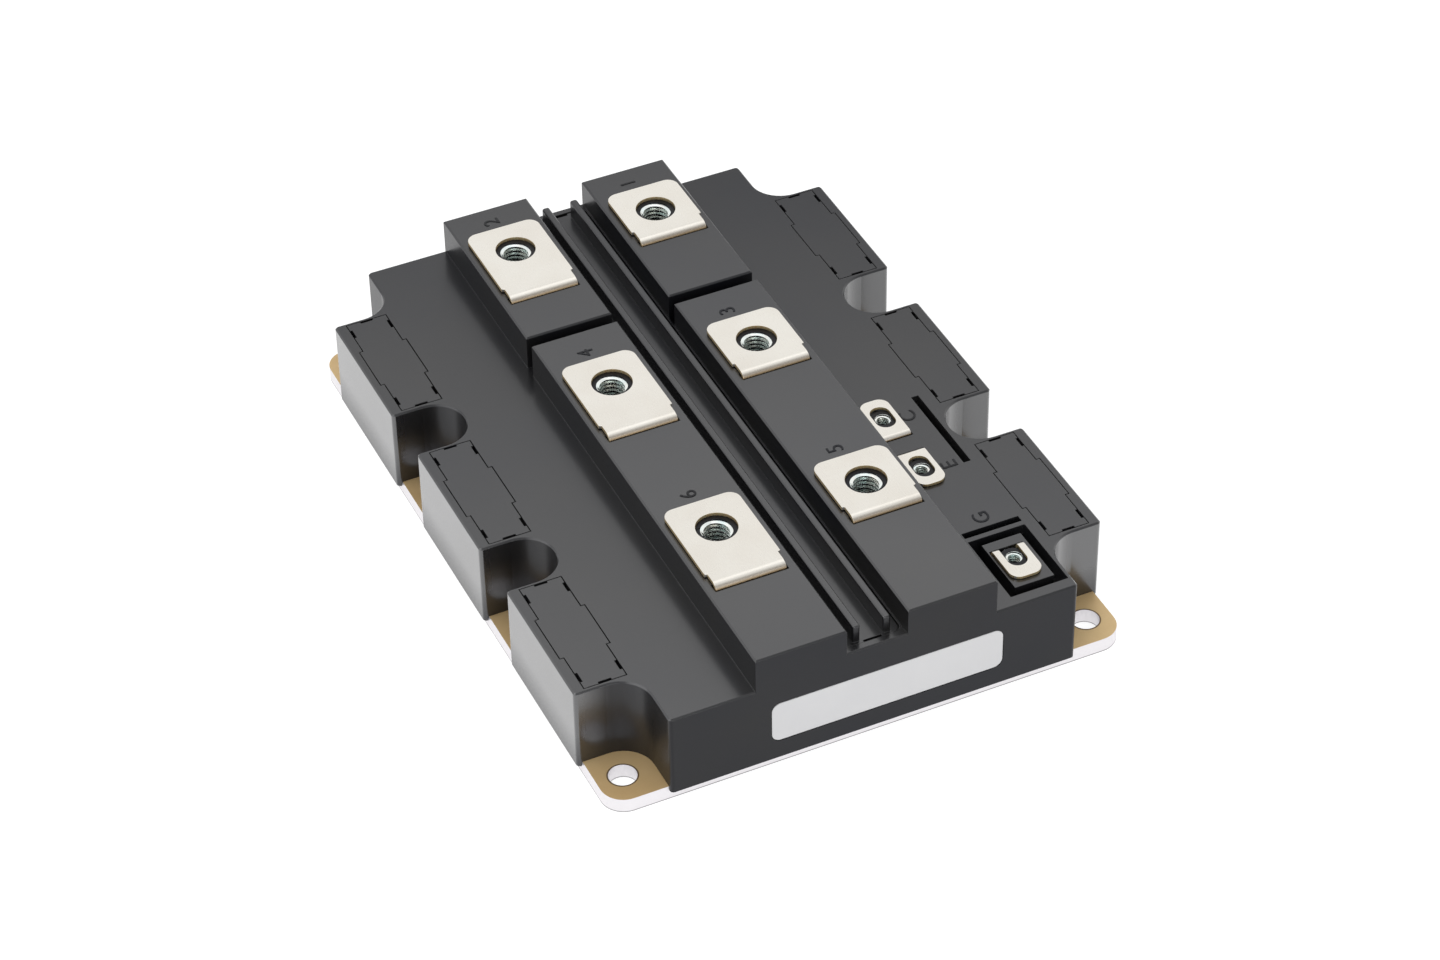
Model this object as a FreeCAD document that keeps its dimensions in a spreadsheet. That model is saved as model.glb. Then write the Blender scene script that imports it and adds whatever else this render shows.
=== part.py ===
"""High-current transistor module: base plate, moulded housing, screw terminals and the circuit inside."""
import FreeCAD, Part
import math
import os
import re
import Sketcher
from typing import NamedTuple

doc = FreeCAD.newDocument("power_module")
sheet = doc.addObject("Spreadsheet::Sheet", "sizes")

# Driving dimensions, in millimetres
DIMENSIONS = [
    # Overall outline
    ("module_length", 190.0),
    ("module_width", 140.0),
    ("deck_height", 26.1),
    ("block_rise", 9.65),
    ("lip_rise", 2.5),
    # Base plate and its eight mounting holes
    ("plate_thick", 4.0),
    ("plate_corner", 6.0),
    ("mount_end", 9.5),
    ("mount_side", 8.0),
    ("mount_radius", 3.5),
    # How the housing sits over the plate
    ("skirt_wall", 1.15),
    ("skirt_drop", 1.2),
    ("plate_gap", 0.15),
    # Housing shell
    ("notch_radius", 8.2),
    ("cut_room", 10.0),
    ("corner_round", 1.0),
    ("edge_break", 0.4),
    ("roof", 3.5),
    ("side_wall", 2.6),
    ("end_wall", 4.0),
    ("row_wall", 2.0),
    ("row_inner", 8.0),
    ("row_outer", 31.7),
    ("block_gap", 3.4),
    ("block_gap_reach", 25.45),
    # Six covers let into the side lobes
    ("cover_end", 1.15),
    ("cover_width", 10.7),
    ("cover_margin", 3.1),
    ("cover_thick", 2.0),
    ("cover_gap", 0.25),
    ("cover_ledge", 1.4),
    ("cover_tab_length", 14.7),
    ("cover_tab", 1.0),
    ("window_length", 3.4),
    ("window_depth", 0.6),
    ("window_inset", 2.2),
    ("snap_thick", 1.2),
    ("snap_length", 5.0),
    ("snap_gap", 0.1),
    # Strip cover in the channel, with its two fins
    ("strip_lip", 2.0),
    ("strip_side", 0.5),
    ("strip_gap", 0.2),
    ("strip_corner", 2.2),
    ("strip_thick", 2.0),
    ("strip_sink", 0.2),
    ("strip_ledge", 1.6),
    ("strip_notch_length", 4.8),
    ("strip_notch_depth", 0.7),
    ("fin_thick", 2.0),
    ("fin_offset", 4.0),
    ("fin_height", 4.8),
    ("fin_inset", 0.9),
    ("fin_end_round", 0.6),
    ("fin_top_round", 0.55),
    # Six main terminals
    ("terminal_front", 45.8),
    ("terminal_rear", 21.2),
    ("terminal_row", 20.0),
    ("terminal_width", 20.0),
    ("terminal_thick", 1.0),
    ("terminal_seat", 0.25),
    ("terminal_hole", 5.2),
    ("terminal_corner", 3.0),
    ("terminal_far", 10.6),
    ("terminal_near_short", 12.1),
    ("terminal_near_long", 19.6),
    ("terminal_neck", 5.3),
    ("terminal_neck_step", 0.7),
    ("bend_inner", 1.4),
    ("foot_length", 8.0),
    ("slot_gap", 0.3),
    # Nuts under the main terminals
    ("nut_flats", 13.0),
    ("nut_height", 6.5),
    ("nut_bore", 3.4),
    ("nut_lead", 0.6),
    ("nut_gap", 0.15),
    ("screw_well", 4.8),
    ("screw_room", 18.5),
    ("boss_radius", 9.2),
    ("boss_floor", 2.0),
    # Three auxiliary terminals
    ("aux_offset", 8.3),
    ("collector_front", 76.0),
    ("collector_reach", 8.1),
    ("emitter_front", 54.8),
    ("emitter_reach", 6.9),
    ("aux_free_reach", 7.0),
    ("aux_width", 7.9),
    ("aux_thick", 0.8),
    ("aux_seat", 0.1),
    ("aux_corner", 2.8),
    ("aux_slot_length", 8.2),
    ("aux_slot_width", 5.2),
    ("aux_bend_inner", 0.6),
    ("aux_foot", 8.0),
    ("aux_nut_flats", 7.0),
    ("aux_nut_height", 3.2),
    ("aux_nut_bore", 1.65),
    ("aux_nut_lead", 0.35),
    ("aux_well", 2.4),
    ("aux_screw_room", 9.0),
    # Gate terminal on its island
    ("gate_front", 15.5),
    ("gate_reach", 4.0),
    ("gate_free_reach", 7.9),
    ("gate_side", 25.3),
    ("gate_width", 8.6),
    ("gate_slot_length", 8.0),
    ("gate_slot_width", 5.0),
    ("gate_slot_drop", 6.0),
    ("island_length", 17.0),
    ("island_width", 10.6),
    ("island_front", 14.2),
    ("island_side", 25.0),
    ("moat_width", 2.5),
    ("moat_depth", 8.0),
    # Creepage slots and the solid floor below them
    ("slot_width", 2.0),
    ("slot_depth", 8.0),
    ("side_slot_length", 28.5),
    ("side_slot_front", 52.3),
    ("side_slot_side", 18.6),
    ("cross_slot_front", 27.6),
    ("floor_wall", 2.5),
    # Power circuit on the base plate
    ("substrate_gap", 5.5),
    ("substrate_inner", 3.0),
    ("substrate_outer", 2.2),
    ("substrate_thick", 1.6),
    ("chip_size", 9.0),
    ("chip_thick", 0.4),
    ("chip_inset", 5.5),
    ("chip_pitch", 10.5),
    ("chip_clearance", 1.55),
    # Blank label on the end face
    ("label_length", 61.6),
    ("label_height", 12.0),
    ("label_thick", 0.15),
    ("label_recess", 0.2),
    ("label_gap", 0.2),
    ("label_corner", 2.5),
    ("label_place", 3.1),
    ("label_middle", 14.1),
]

# Sizes and places that follow the driving dimensions, so that what belongs together stays together
FOLLOWING = [
    ("lip_height", "deck_height + lip_rise"),
    ("block_height", "deck_height + block_rise"),
    ("mount_pitch", "(module_length - 2 * mount_end) / 3"),
    ("mount_span", "module_width - 2 * mount_side"),
    ("cover_length", "mount_pitch - 2 * notch_radius - 2 * cover_end"),
    ("terminal_place", "module_length / 2 - terminal_front"),
    ("terminal_pitch", "(module_length - terminal_front - terminal_rear) / 2"),
    ("block_gap_place", "terminal_pitch - terminal_place + block_gap_reach"),
    ("aux_row", "row_outer + aux_offset"),
    ("collector_place", "module_length / 2 - collector_front"),
    ("emitter_place", "module_length / 2 - emitter_front"),
    ("gate_place", "module_length / 2 - gate_front"),
    ("gate_row", "module_width / 2 - gate_side"),
    ("island_place", "module_length / 2 - island_front"),
    ("island_row", "module_width / 2 - island_side"),
    ("cross_slot_place", "module_length / 2 - cross_slot_front"),
    ("side_slot_end", "module_length / 2 - side_slot_front"),
    ("side_slot_start", "side_slot_end - side_slot_length"),
    ("side_slot_row", "module_width / 2 - side_slot_side"),
    ("chamber_half_width", "mount_span / 2 - notch_radius - side_wall"),
    ("substrate_length", "mount_pitch - 2 * substrate_gap"),
    ("substrate_width", "chamber_half_width - substrate_inner - substrate_outer"),
    ("substrate_row", "substrate_inner + substrate_width / 2"),
    ("chip_column", "substrate_length / 2 - chip_inset"),
    ("chip_row", "aux_row - aux_width / 2 - chip_clearance - chip_size / 2"),
]

CELLS = [(alias, str(amount)) for alias, amount in DIMENSIONS]
CELLS += [(alias, f"={formula}") for alias, formula in FOLLOWING]
for line_number, (alias, content) in enumerate(CELLS, start=1):
    sheet.set(f"A{line_number}", alias)
    sheet.setAlias(f"B{line_number}", alias)
    sheet.set(f"B{line_number}", content)
doc.recompute()

ALIASES = {alias for alias, content in CELLS}

# Lengths worked out from them
HALF_LENGTH = "(module_length / 2)"
HALF_WIDTH = "(module_width / 2)"
PLATE_HALF_LENGTH = f"({HALF_LENGTH} - skirt_wall - plate_gap)"
PLATE_HALF_WIDTH = f"({HALF_WIDTH} - skirt_wall - plate_gap)"
MOUNT_X_INNER = "(mount_pitch / 2)"
MOUNT_X_OUTER = "(mount_pitch * 3 / 2)"
MOUNT_Y = "(mount_span / 2)"
NOTCH_DEEP = f"({MOUNT_Y} - notch_radius)"
CHAMBER_HALF_LENGTH = f"({HALF_LENGTH} - end_wall)"
DECK_UNDER = "(deck_height - roof)"
BLOCK_UNDER = "(block_height - roof)"
STRIP_TOP = "(lip_height - strip_sink)"
STRIP_SEAT = f"({STRIP_TOP} - strip_thick)"
STRIP_POCKET_HALF_LENGTH = f"({HALF_LENGTH} - strip_lip)"
STRIP_POCKET_HALF_WIDTH = "(row_inner - strip_side)"
COVER_ROW = f"({HALF_WIDTH} - cover_margin - cover_width / 2)"
COVER_SEAT = "(deck_height - cover_thick)"
TERMINAL_UNDER = "(block_height + terminal_seat)"
NUT_SEAT = f"({TERMINAL_UNDER} - nut_height)"
WELL_FLOOR = f"({TERMINAL_UNDER} + terminal_thick - screw_room)"
AUX_UNDER = "(deck_height + aux_seat)"
AUX_NUT_SEAT = f"({AUX_UNDER} - aux_nut_height)"
AUX_WELL_FLOOR = f"({AUX_UNDER} + aux_thick - aux_screw_room)"
AUX_FLOOR = "(deck_height - moat_depth - floor_wall)"
SUBSTRATE_TOP = "(plate_thick + substrate_thick)"


class Auxiliary(NamedTuple):
    """An auxiliary terminal as expressions: place, width, side and reach of its leg, free end and slot."""

    name: str
    x: str
    y: str
    width: str
    side: str
    reach: str
    free: str
    slot_length: str
    slot_width: str
    is_open: bool


AUXILIARIES = [
    Auxiliary("collector_sense", "collector_place", "aux_row", "aux_width", "1", "collector_reach",
              "aux_free_reach", "aux_slot_length", "aux_slot_width", False),
    Auxiliary("emitter_sense", "emitter_place", "aux_row", "aux_width", "-1", "emitter_reach",
              "aux_free_reach", "aux_slot_length", "aux_slot_width", False),
    Auxiliary("gate", "gate_place", "gate_row", "gate_width", "-1", "gate_reach",
              "gate_free_reach", "gate_slot_length", "gate_slot_width", True),
]


def bound(text):
    """The expression with each dimension's name pointing at its cell."""
    return re.sub(r"[a-z_]+", lambda word: f"sizes.{word[0]}" if word[0] in ALIASES else word[0], str(text))


def value(text):
    """The number that an expression gives now."""
    return float(sheet.evalExpression(bound(text).replace("sizes.", "")))


def bind(feature, prop, text):
    """Ties a property of a feature to an expression in the named dimensions."""
    feature.setExpression(prop, bound(text))


def place(piece, across="0", along="0", height="0"):
    """Ties the place of a finished piece to the named dimensions."""
    bind(piece, "Placement.Base.x", across)
    bind(piece, "Placement.Base.y", along)
    bind(piece, "Placement.Base.z", height)


def new_body(name):
    """An empty body whose label names its piece."""
    body = doc.addObject("PartDesign::Body", name)
    body.Label = name
    return body


def new_sketch(body, name, plane="XY_Plane", lift="0"):
    """A sketch on one of the body's own planes, lifted along that plane's normal."""
    support = [feature for feature in body.Origin.OriginFeatures if feature.Role == plane][0]
    sketch = body.newObject("Sketcher::SketchObject", f"{body.Name}_{name}")
    sketch.AttachmentSupport = [(support, "")]
    sketch.MapMode = "FlatFace"
    bind(sketch, "AttachmentOffset.Base.z", lift)
    return sketch


def fix_point(sketch, geometry, point, x, y):
    """Fixes one point of a sketch at expressions for its two coordinates."""
    for kind, text in (("DistanceX", x), ("DistanceY", y)):
        index = sketch.addConstraint(Sketcher.Constraint(kind, -1, 1, geometry, point, value(text)))
        bind(sketch, f"Constraints[{index}]", text)


def draw_outline(sketch, corners):
    """A closed outline of straight lines through corners given as pairs of expressions."""
    points = [FreeCAD.Vector(value(x), value(y), 0) for x, y in corners]
    first = sketch.GeometryCount
    sides = [Part.LineSegment(a, b) for a, b in zip(points, points[1:] + points[:1])]
    sketch.addGeometry(sides, False)
    for index, (x, y) in enumerate(corners):
        following = first + (index + 1) % len(corners)
        sketch.addConstraint(Sketcher.Constraint("Coincident", first + index, 2, following, 1))
        fix_point(sketch, first + index, 1, x, y)


def draw_rectangle(sketch, x_low, x_high, y_low, y_high):
    """A rectangle between four expressions."""
    draw_outline(sketch, [(x_low, y_low), (x_high, y_low), (x_high, y_high), (x_low, y_high)])


def in_order(sign, near, far):
    """Two mirrored places from low to high, given the nearer and the farther one from the middle."""
    return (far, near) if sign else (near, far)


def draw_circle(sketch, x, y, radius):
    """A circle with its centre and radius tied to expressions."""
    centre = FreeCAD.Vector(value(x), value(y), 0)
    index = sketch.addGeometry(Part.Circle(centre, FreeCAD.Vector(0, 0, 1), value(radius)), False)
    fix_point(sketch, index, 3, x, y)
    constraint = sketch.addConstraint(Sketcher.Constraint("Radius", index, value(radius)))
    bind(sketch, f"Constraints[{constraint}]", radius)


def draw_oblong(sketch, x_low, x_high, half):
    """An oblong with round ends along the x axis, between the centres of its two ends."""
    low, high, radius = value(x_low), value(x_high), value(half)
    upward = FreeCAD.Vector(0, 0, 1)
    quarter = math.pi / 2
    right = Part.ArcOfCircle(Part.Circle(FreeCAD.Vector(high, 0, 0), upward, radius), -quarter, quarter)
    left = Part.ArcOfCircle(Part.Circle(FreeCAD.Vector(low, 0, 0), upward, radius), quarter, 3 * quarter)
    lower = Part.LineSegment(FreeCAD.Vector(low, -radius, 0), FreeCAD.Vector(high, -radius, 0))
    upper = Part.LineSegment(FreeCAD.Vector(high, radius, 0), FreeCAD.Vector(low, radius, 0))
    sketch.addGeometry([lower, right, upper, left], False)
    for index in range(4):
        sketch.addConstraint(Sketcher.Constraint("Coincident", index, 2, (index + 1) % 4, 1))
    for line, (start, end), y in ((0, (x_low, x_high), f"-{half}"), (2, (x_high, x_low), half)):
        fix_point(sketch, line, 1, start, y)
        fix_point(sketch, line, 2, end, y)
    for index, x in ((1, x_high), (3, x_low)):
        number = sketch.addConstraint(Sketcher.Constraint("DistanceX", -1, 1, index, 3, value(x)))
        bind(sketch, f"Constraints[{number}]", x)


def draw_hexagon(sketch, x, y, flats):
    """A hexagon across flats, with two of its corners on the x axis."""
    reach = f"({flats}) / cos(30) / 2"
    corners = []
    for step in range(6):
        corners.append((f"{x} + {reach} * cos({60 * step})", f"{y} + {reach} * sin({60 * step})"))
    draw_outline(sketch, corners)


def pad(body, sketch, length, symmetric=False):
    """Raises a sketch along its normal, or to both sides of its plane."""
    feature = body.newObject("PartDesign::Pad", f"{sketch.Name}_pad")
    feature.Profile = sketch
    feature.SideType = "Symmetric" if symmetric else "One side"
    bind(feature, "Length", length)
    sketch.Visibility = False
    doc.recompute()
    return feature


def pocket(body, sketch, depth, upward=False):
    """Cuts a sketch into the body, below its plane or above it, and checks that it removed material."""
    before = body.Shape.Volume
    feature = body.newObject("PartDesign::Pocket", f"{sketch.Name}_cut")
    feature.Profile = sketch
    feature.Reversed = upward
    bind(feature, "Length", depth)
    sketch.Visibility = False
    doc.recompute()
    if not feature.Shape.Volume < before:
        raise RuntimeError(f"{feature.Name} cuts nothing")
    return feature


def edge_names(shape, wanted):
    """Names of the edges that a test picks out."""
    return [f"Edge{index}" for index, edge in enumerate(shape.Edges, start=1) if wanted(edge)]


def is_upright(edge):
    """True for a straight edge along Z."""
    box = edge.BoundBox
    return box.XLength < 1e-6 and box.YLength < 1e-6


def lies_level(edge, height):
    """True for an edge that lies in the level plane at a height."""
    box = edge.BoundBox
    return abs(box.ZMin - height) < 1e-6 and abs(box.ZMax - height) < 1e-6


def stands_at(edge, spots):
    """True for an upright edge over one of the given spots."""
    if not is_upright(edge):
        return False
    box = edge.BoundBox
    return any(math.hypot(box.XMin - x, box.YMin - y) < 1e-4 for x, y in spots)


def crosses_at(edge, spots):
    """True for a straight edge along Y at one of the given places across it."""
    box = edge.BoundBox
    if box.XLength > 1e-6 or box.ZLength > 1e-6:
        return False
    return any(math.hypot(box.XMin - x, box.ZMin - z) < 1e-4 for x, z in spots)


def round_edges(body, wanted, radius, name):
    """Rounds the edges of the body that a test picks out."""
    feature = body.newObject("PartDesign::Fillet", f"{body.Name}_{name}")
    base = body.Group[-2]
    feature.Base = (base, edge_names(base.Shape, wanted))
    bind(feature, "Radius", radius)
    base.Visibility = False
    doc.recompute()
    return feature


def chamfer_edges(body, wanted, width, name):
    """Breaks the edges of the body that a test picks out."""
    feature = body.newObject("PartDesign::Chamfer", f"{body.Name}_{name}")
    base = body.Group[-2]
    feature.Base = (base, edge_names(base.Shape, wanted))
    bind(feature, "Size", width)
    base.Visibility = False
    doc.recompute()
    return feature


def mount_spots():
    """Expressions for the centres of the eight mounting holes."""
    signs = ("", "-")
    return [(f"{side_x}{x}", f"{side_y}{MOUNT_Y}")
            for x in (MOUNT_X_INNER, MOUNT_X_OUTER) for side_x in signs for side_y in signs]


def terminal_spots():
    """Number, x and y of each main terminal, odd numbers in the far row and even ones in the near row."""
    spots = []
    for column in range(3):
        x = f"(terminal_place - terminal_pitch * {2 - column})"
        spots.append((2 * column + 1, x, "terminal_row"))
        spots.append((2 * column + 2, x, "-terminal_row"))
    return spots


def lobe_spots():
    """Expressions for the middles of the six side lobes."""
    return [(x, f"{side}{COVER_ROW}") for side in ("", "-") for x in ("-mount_pitch", "0", "mount_pitch")]


def block_ranges():
    """Ends along x of the short and the long terminal blocks."""
    short = (f"-{HALF_LENGTH}", "-block_gap_place - block_gap / 2")
    long = ("-block_gap_place + block_gap / 2", HALF_LENGTH)
    return [short, long]


# Base plate

def make_base_plate():
    """Flat metal plate with rounded corners and eight mounting holes."""
    body = new_body("base_plate")
    outline = new_sketch(body, "outline")
    draw_rectangle(outline, f"-{PLATE_HALF_LENGTH}", PLATE_HALF_LENGTH,
                   f"-{PLATE_HALF_WIDTH}", PLATE_HALF_WIDTH)
    pad(body, outline, "plate_thick")
    round_edges(body, is_upright, "plate_corner", "corners")
    holes = new_sketch(body, "holes", lift="plate_thick")
    for x, y in mount_spots():
        draw_circle(holes, x, y, "mount_radius")
    pocket(body, holes, "plate_thick")
    return body


# Housing

def add_outer_form(body):
    """Deck with its skirt, side notches and terminal blocks."""
    outline = new_sketch(body, "outline", lift="plate_thick - skirt_drop")
    draw_rectangle(outline, f"-{HALF_LENGTH}", HALF_LENGTH, f"-{HALF_WIDTH}", HALF_WIDTH)
    pad(body, outline, "deck_height - plate_thick + skirt_drop")

    notches = new_sketch(body, "notches", lift="deck_height")
    bays = new_sketch(body, "bays", lift="deck_height")
    for side_y in ("", "-"):
        outside = f"{side_y}({HALF_WIDTH} + cut_room)"
        for side_x in ("", "-"):
            draw_circle(notches, f"{side_x}{MOUNT_X_INNER}", f"{side_y}{MOUNT_Y}", "notch_radius")
            draw_circle(notches, f"{side_x}{MOUNT_X_OUTER}", f"{side_y}{MOUNT_Y}", "notch_radius")
            draw_rectangle(bays, f"{side_x}{MOUNT_X_INNER} - notch_radius",
                           f"{side_x}{MOUNT_X_INNER} + notch_radius", f"{side_y}{MOUNT_Y}", outside)
            draw_outline(bays, [
                (f"{side_x}({MOUNT_X_OUTER} - notch_radius)", f"{side_y}{MOUNT_Y}"),
                (f"{side_x}{MOUNT_X_OUTER}", f"{side_y}{MOUNT_Y}"),
                (f"{side_x}{MOUNT_X_OUTER}", f"{side_y}{NOTCH_DEEP}"),
                (f"{side_x}({HALF_LENGTH} + cut_room)", f"{side_y}{NOTCH_DEEP}"),
                (f"{side_x}({HALF_LENGTH} + cut_room)", outside),
                (f"{side_x}({MOUNT_X_OUTER} - notch_radius)", outside),
            ])
    pocket(body, notches, "deck_height - plate_thick + skirt_drop")
    pocket(body, bays, "deck_height - plate_thick + skirt_drop")

    channel = new_sketch(body, "channel", lift="deck_height")
    draw_rectangle(channel, f"-{HALF_LENGTH}", HALF_LENGTH, "-row_outer", "row_outer")
    pad(body, channel, "lip_height - deck_height")
    trimmed = new_sketch(body, "block_gaps", lift="lip_height")
    for side in ("", "-"):
        low, high = sorted(("row_inner", "row_outer"), reverse=side == "-")
        draw_rectangle(trimmed, "-block_gap_place - block_gap / 2", "-block_gap_place + block_gap / 2",
                       f"{side}{low}", f"{side}{high}")
    pocket(body, trimmed, "lip_height - deck_height")
    blocks = new_sketch(body, "blocks", lift="lip_height")
    for start, end in block_ranges():
        draw_rectangle(blocks, start, end, "row_inner", "row_outer")
        draw_rectangle(blocks, start, end, "-row_outer", "-row_inner")
    pad(body, blocks, "block_height - lip_height")


def round_outer_form(body):
    """Rounds the upright corners, then breaks the upper edges of deck, lip and blocks."""
    ends = [(sx * value(HALF_LENGTH), sy * value(NOTCH_DEEP)) for sx in (1, -1) for sy in (1, -1)]
    lobes = []
    for x in (f"({MOUNT_X_INNER} - notch_radius)", f"({MOUNT_X_INNER} + notch_radius)",
              f"({MOUNT_X_OUTER} - notch_radius)"):
        lobes += [(sx * value(x), sy * value(HALF_WIDTH)) for sx in (1, -1) for sy in (1, -1)]
    round_edges(body, lambda edge: stands_at(edge, ends + lobes), "corner_round", "corners")

    deck, block, lip = value("deck_height"), value("block_height"), value("lip_height")
    far_x, outer_y = value(HALF_LENGTH), value("row_outer")

    def is_rim(edge):
        """Upper outside edges: the deck's outline, the lip's two ends and the tops of the blocks."""
        box = edge.BoundBox
        if lies_level(edge, block):
            return True
        if lies_level(edge, lip):
            return abs(abs(box.Center.x) - far_x) < 1e-6
        if lies_level(edge, deck):
            return abs(box.Center.y) > outer_y + 1e-6
        return False

    chamfer_edges(body, is_rim, "edge_break", "rims")


def hollow_out(body):
    """Rebate for the plate, main chamber, block chambers and the pockets of the covers."""
    rebate = new_sketch(body, "rebate", lift="plate_thick")
    draw_rectangle(rebate, f"-{PLATE_HALF_LENGTH} - plate_gap", f"{PLATE_HALF_LENGTH} + plate_gap",
                   f"-{PLATE_HALF_WIDTH} - plate_gap", f"{PLATE_HALF_WIDTH} + plate_gap")
    pocket(body, rebate, "skirt_drop")

    chamber = new_sketch(body, "chamber", lift=DECK_UNDER)
    draw_rectangle(chamber, f"-{CHAMBER_HALF_LENGTH}", CHAMBER_HALF_LENGTH,
                   "-chamber_half_width", "chamber_half_width")
    pocket(body, chamber, f"{DECK_UNDER} - plate_thick")

    attics = new_sketch(body, "attics", lift=DECK_UNDER)
    for start, end in block_ranges():
        for low, high in (("row_inner + row_wall", "row_outer - row_wall"),
                          ("-row_outer + row_wall", "-row_inner - row_wall")):
            draw_rectangle(attics, f"{start} + end_wall", f"{end} - end_wall", low, high)
    pocket(body, attics, f"{BLOCK_UNDER} - {DECK_UNDER}", upward=True)


def add_strip_pocket(body):
    """Pocket and through opening for the strip cover along the channel."""
    pocket_form = new_sketch(body, "strip_pocket", lift="lip_height")
    draw_rectangle(pocket_form, f"-{STRIP_POCKET_HALF_LENGTH}", STRIP_POCKET_HALF_LENGTH,
                   f"-{STRIP_POCKET_HALF_WIDTH}", STRIP_POCKET_HALF_WIDTH)
    pocket(body, pocket_form, f"lip_height - {STRIP_SEAT}")
    spots = [(sx * value(STRIP_POCKET_HALF_LENGTH), sy * value(STRIP_POCKET_HALF_WIDTH))
             for sx in (1, -1) for sy in (1, -1)]
    round_edges(body, lambda edge: stands_at(edge, spots), "strip_corner", "strip_corners")
    opening = new_sketch(body, "strip_opening", lift=STRIP_SEAT)
    draw_rectangle(opening, f"-{STRIP_POCKET_HALF_LENGTH} + strip_ledge + strip_thick",
                   f"{STRIP_POCKET_HALF_LENGTH} - strip_ledge - strip_thick",
                   f"-{STRIP_POCKET_HALF_WIDTH} + strip_ledge", f"{STRIP_POCKET_HALF_WIDTH} - strip_ledge")
    pocket(body, opening, f"{STRIP_SEAT} - {DECK_UNDER}")


def cover_corners(x, y, grow):
    """Plan outline of a side cover about its middle: a rectangle whose middle third is wider."""
    end = f"(cover_length / 2 + {grow})"
    tab = f"(cover_tab_length / 2 + {grow})"
    side = f"(cover_width / 2 + {grow})"
    wide = f"(cover_width / 2 + cover_tab + {grow})"
    quarter = [(end, side), (tab, side), (tab, wide)]
    corners = list(quarter)
    corners += [(f"-{a}", b) for a, b in reversed(quarter)]
    corners += [(f"-{a}", f"-{b}") for a, b in quarter]
    corners += [(a, f"-{b}") for a, b in reversed(quarter)]
    return [(f"{x} + {a}", f"{y} + {b}") for a, b in corners]


def add_cover_pockets(body):
    """Recess with a ledge for each side cover, and the side chamber below it."""
    recesses = new_sketch(body, "cover_recesses", lift="deck_height")
    chambers = new_sketch(body, "side_chambers", lift=COVER_SEAT)
    for x, y in lobe_spots():
        draw_outline(recesses, cover_corners(x, y, "cover_gap"))
        reach_x, reach_y = "(cover_length / 2 - cover_ledge)", "(cover_width / 2 - cover_ledge)"
        draw_rectangle(chambers, f"{x} - {reach_x}", f"{x} + {reach_x}",
                       f"{y} - {reach_y}", f"{y} + {reach_y}")
    pocket(body, recesses, "cover_thick")
    pocket(body, chambers, f"{COVER_SEAT} - plate_thick")


def add_nut_bosses(body):
    """Bosses hanging in the block chambers, each with a hexagon pocket and a blind well for the screw."""
    bosses = new_sketch(body, "bosses", lift=f"{WELL_FLOOR} - boss_floor")
    pockets = new_sketch(body, "nut_pockets", lift="block_height")
    wells = new_sketch(body, "screw_wells", lift=NUT_SEAT)
    for number, x, y in terminal_spots():
        draw_circle(bosses, x, y, "boss_radius")
        draw_hexagon(pockets, x, y, "nut_flats + 2 * nut_gap")
        draw_circle(wells, x, y, "screw_well")
    pad(body, bosses, f"{BLOCK_UNDER} - {WELL_FLOOR} + boss_floor")
    pocket(body, pockets, f"block_height - {NUT_SEAT}")
    pocket(body, wells, f"{NUT_SEAT} - {WELL_FLOOR}")


def add_leg_slots(body):
    """Slots through the blocks for the legs of the main terminals."""
    slots = new_sketch(body, "leg_slots", lift="block_height")
    for number, x, y in terminal_spots():
        near = terminal_near(number)
        half = "(terminal_width / 2 - terminal_neck_step + slot_gap)"
        draw_rectangle(slots, f"{x} + {near} - bend_inner - terminal_thick", f"{x} + {near} + slot_gap",
                       f"{y} - {half}", f"{y} + {half}")
    pocket(body, slots, "roof")


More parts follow.
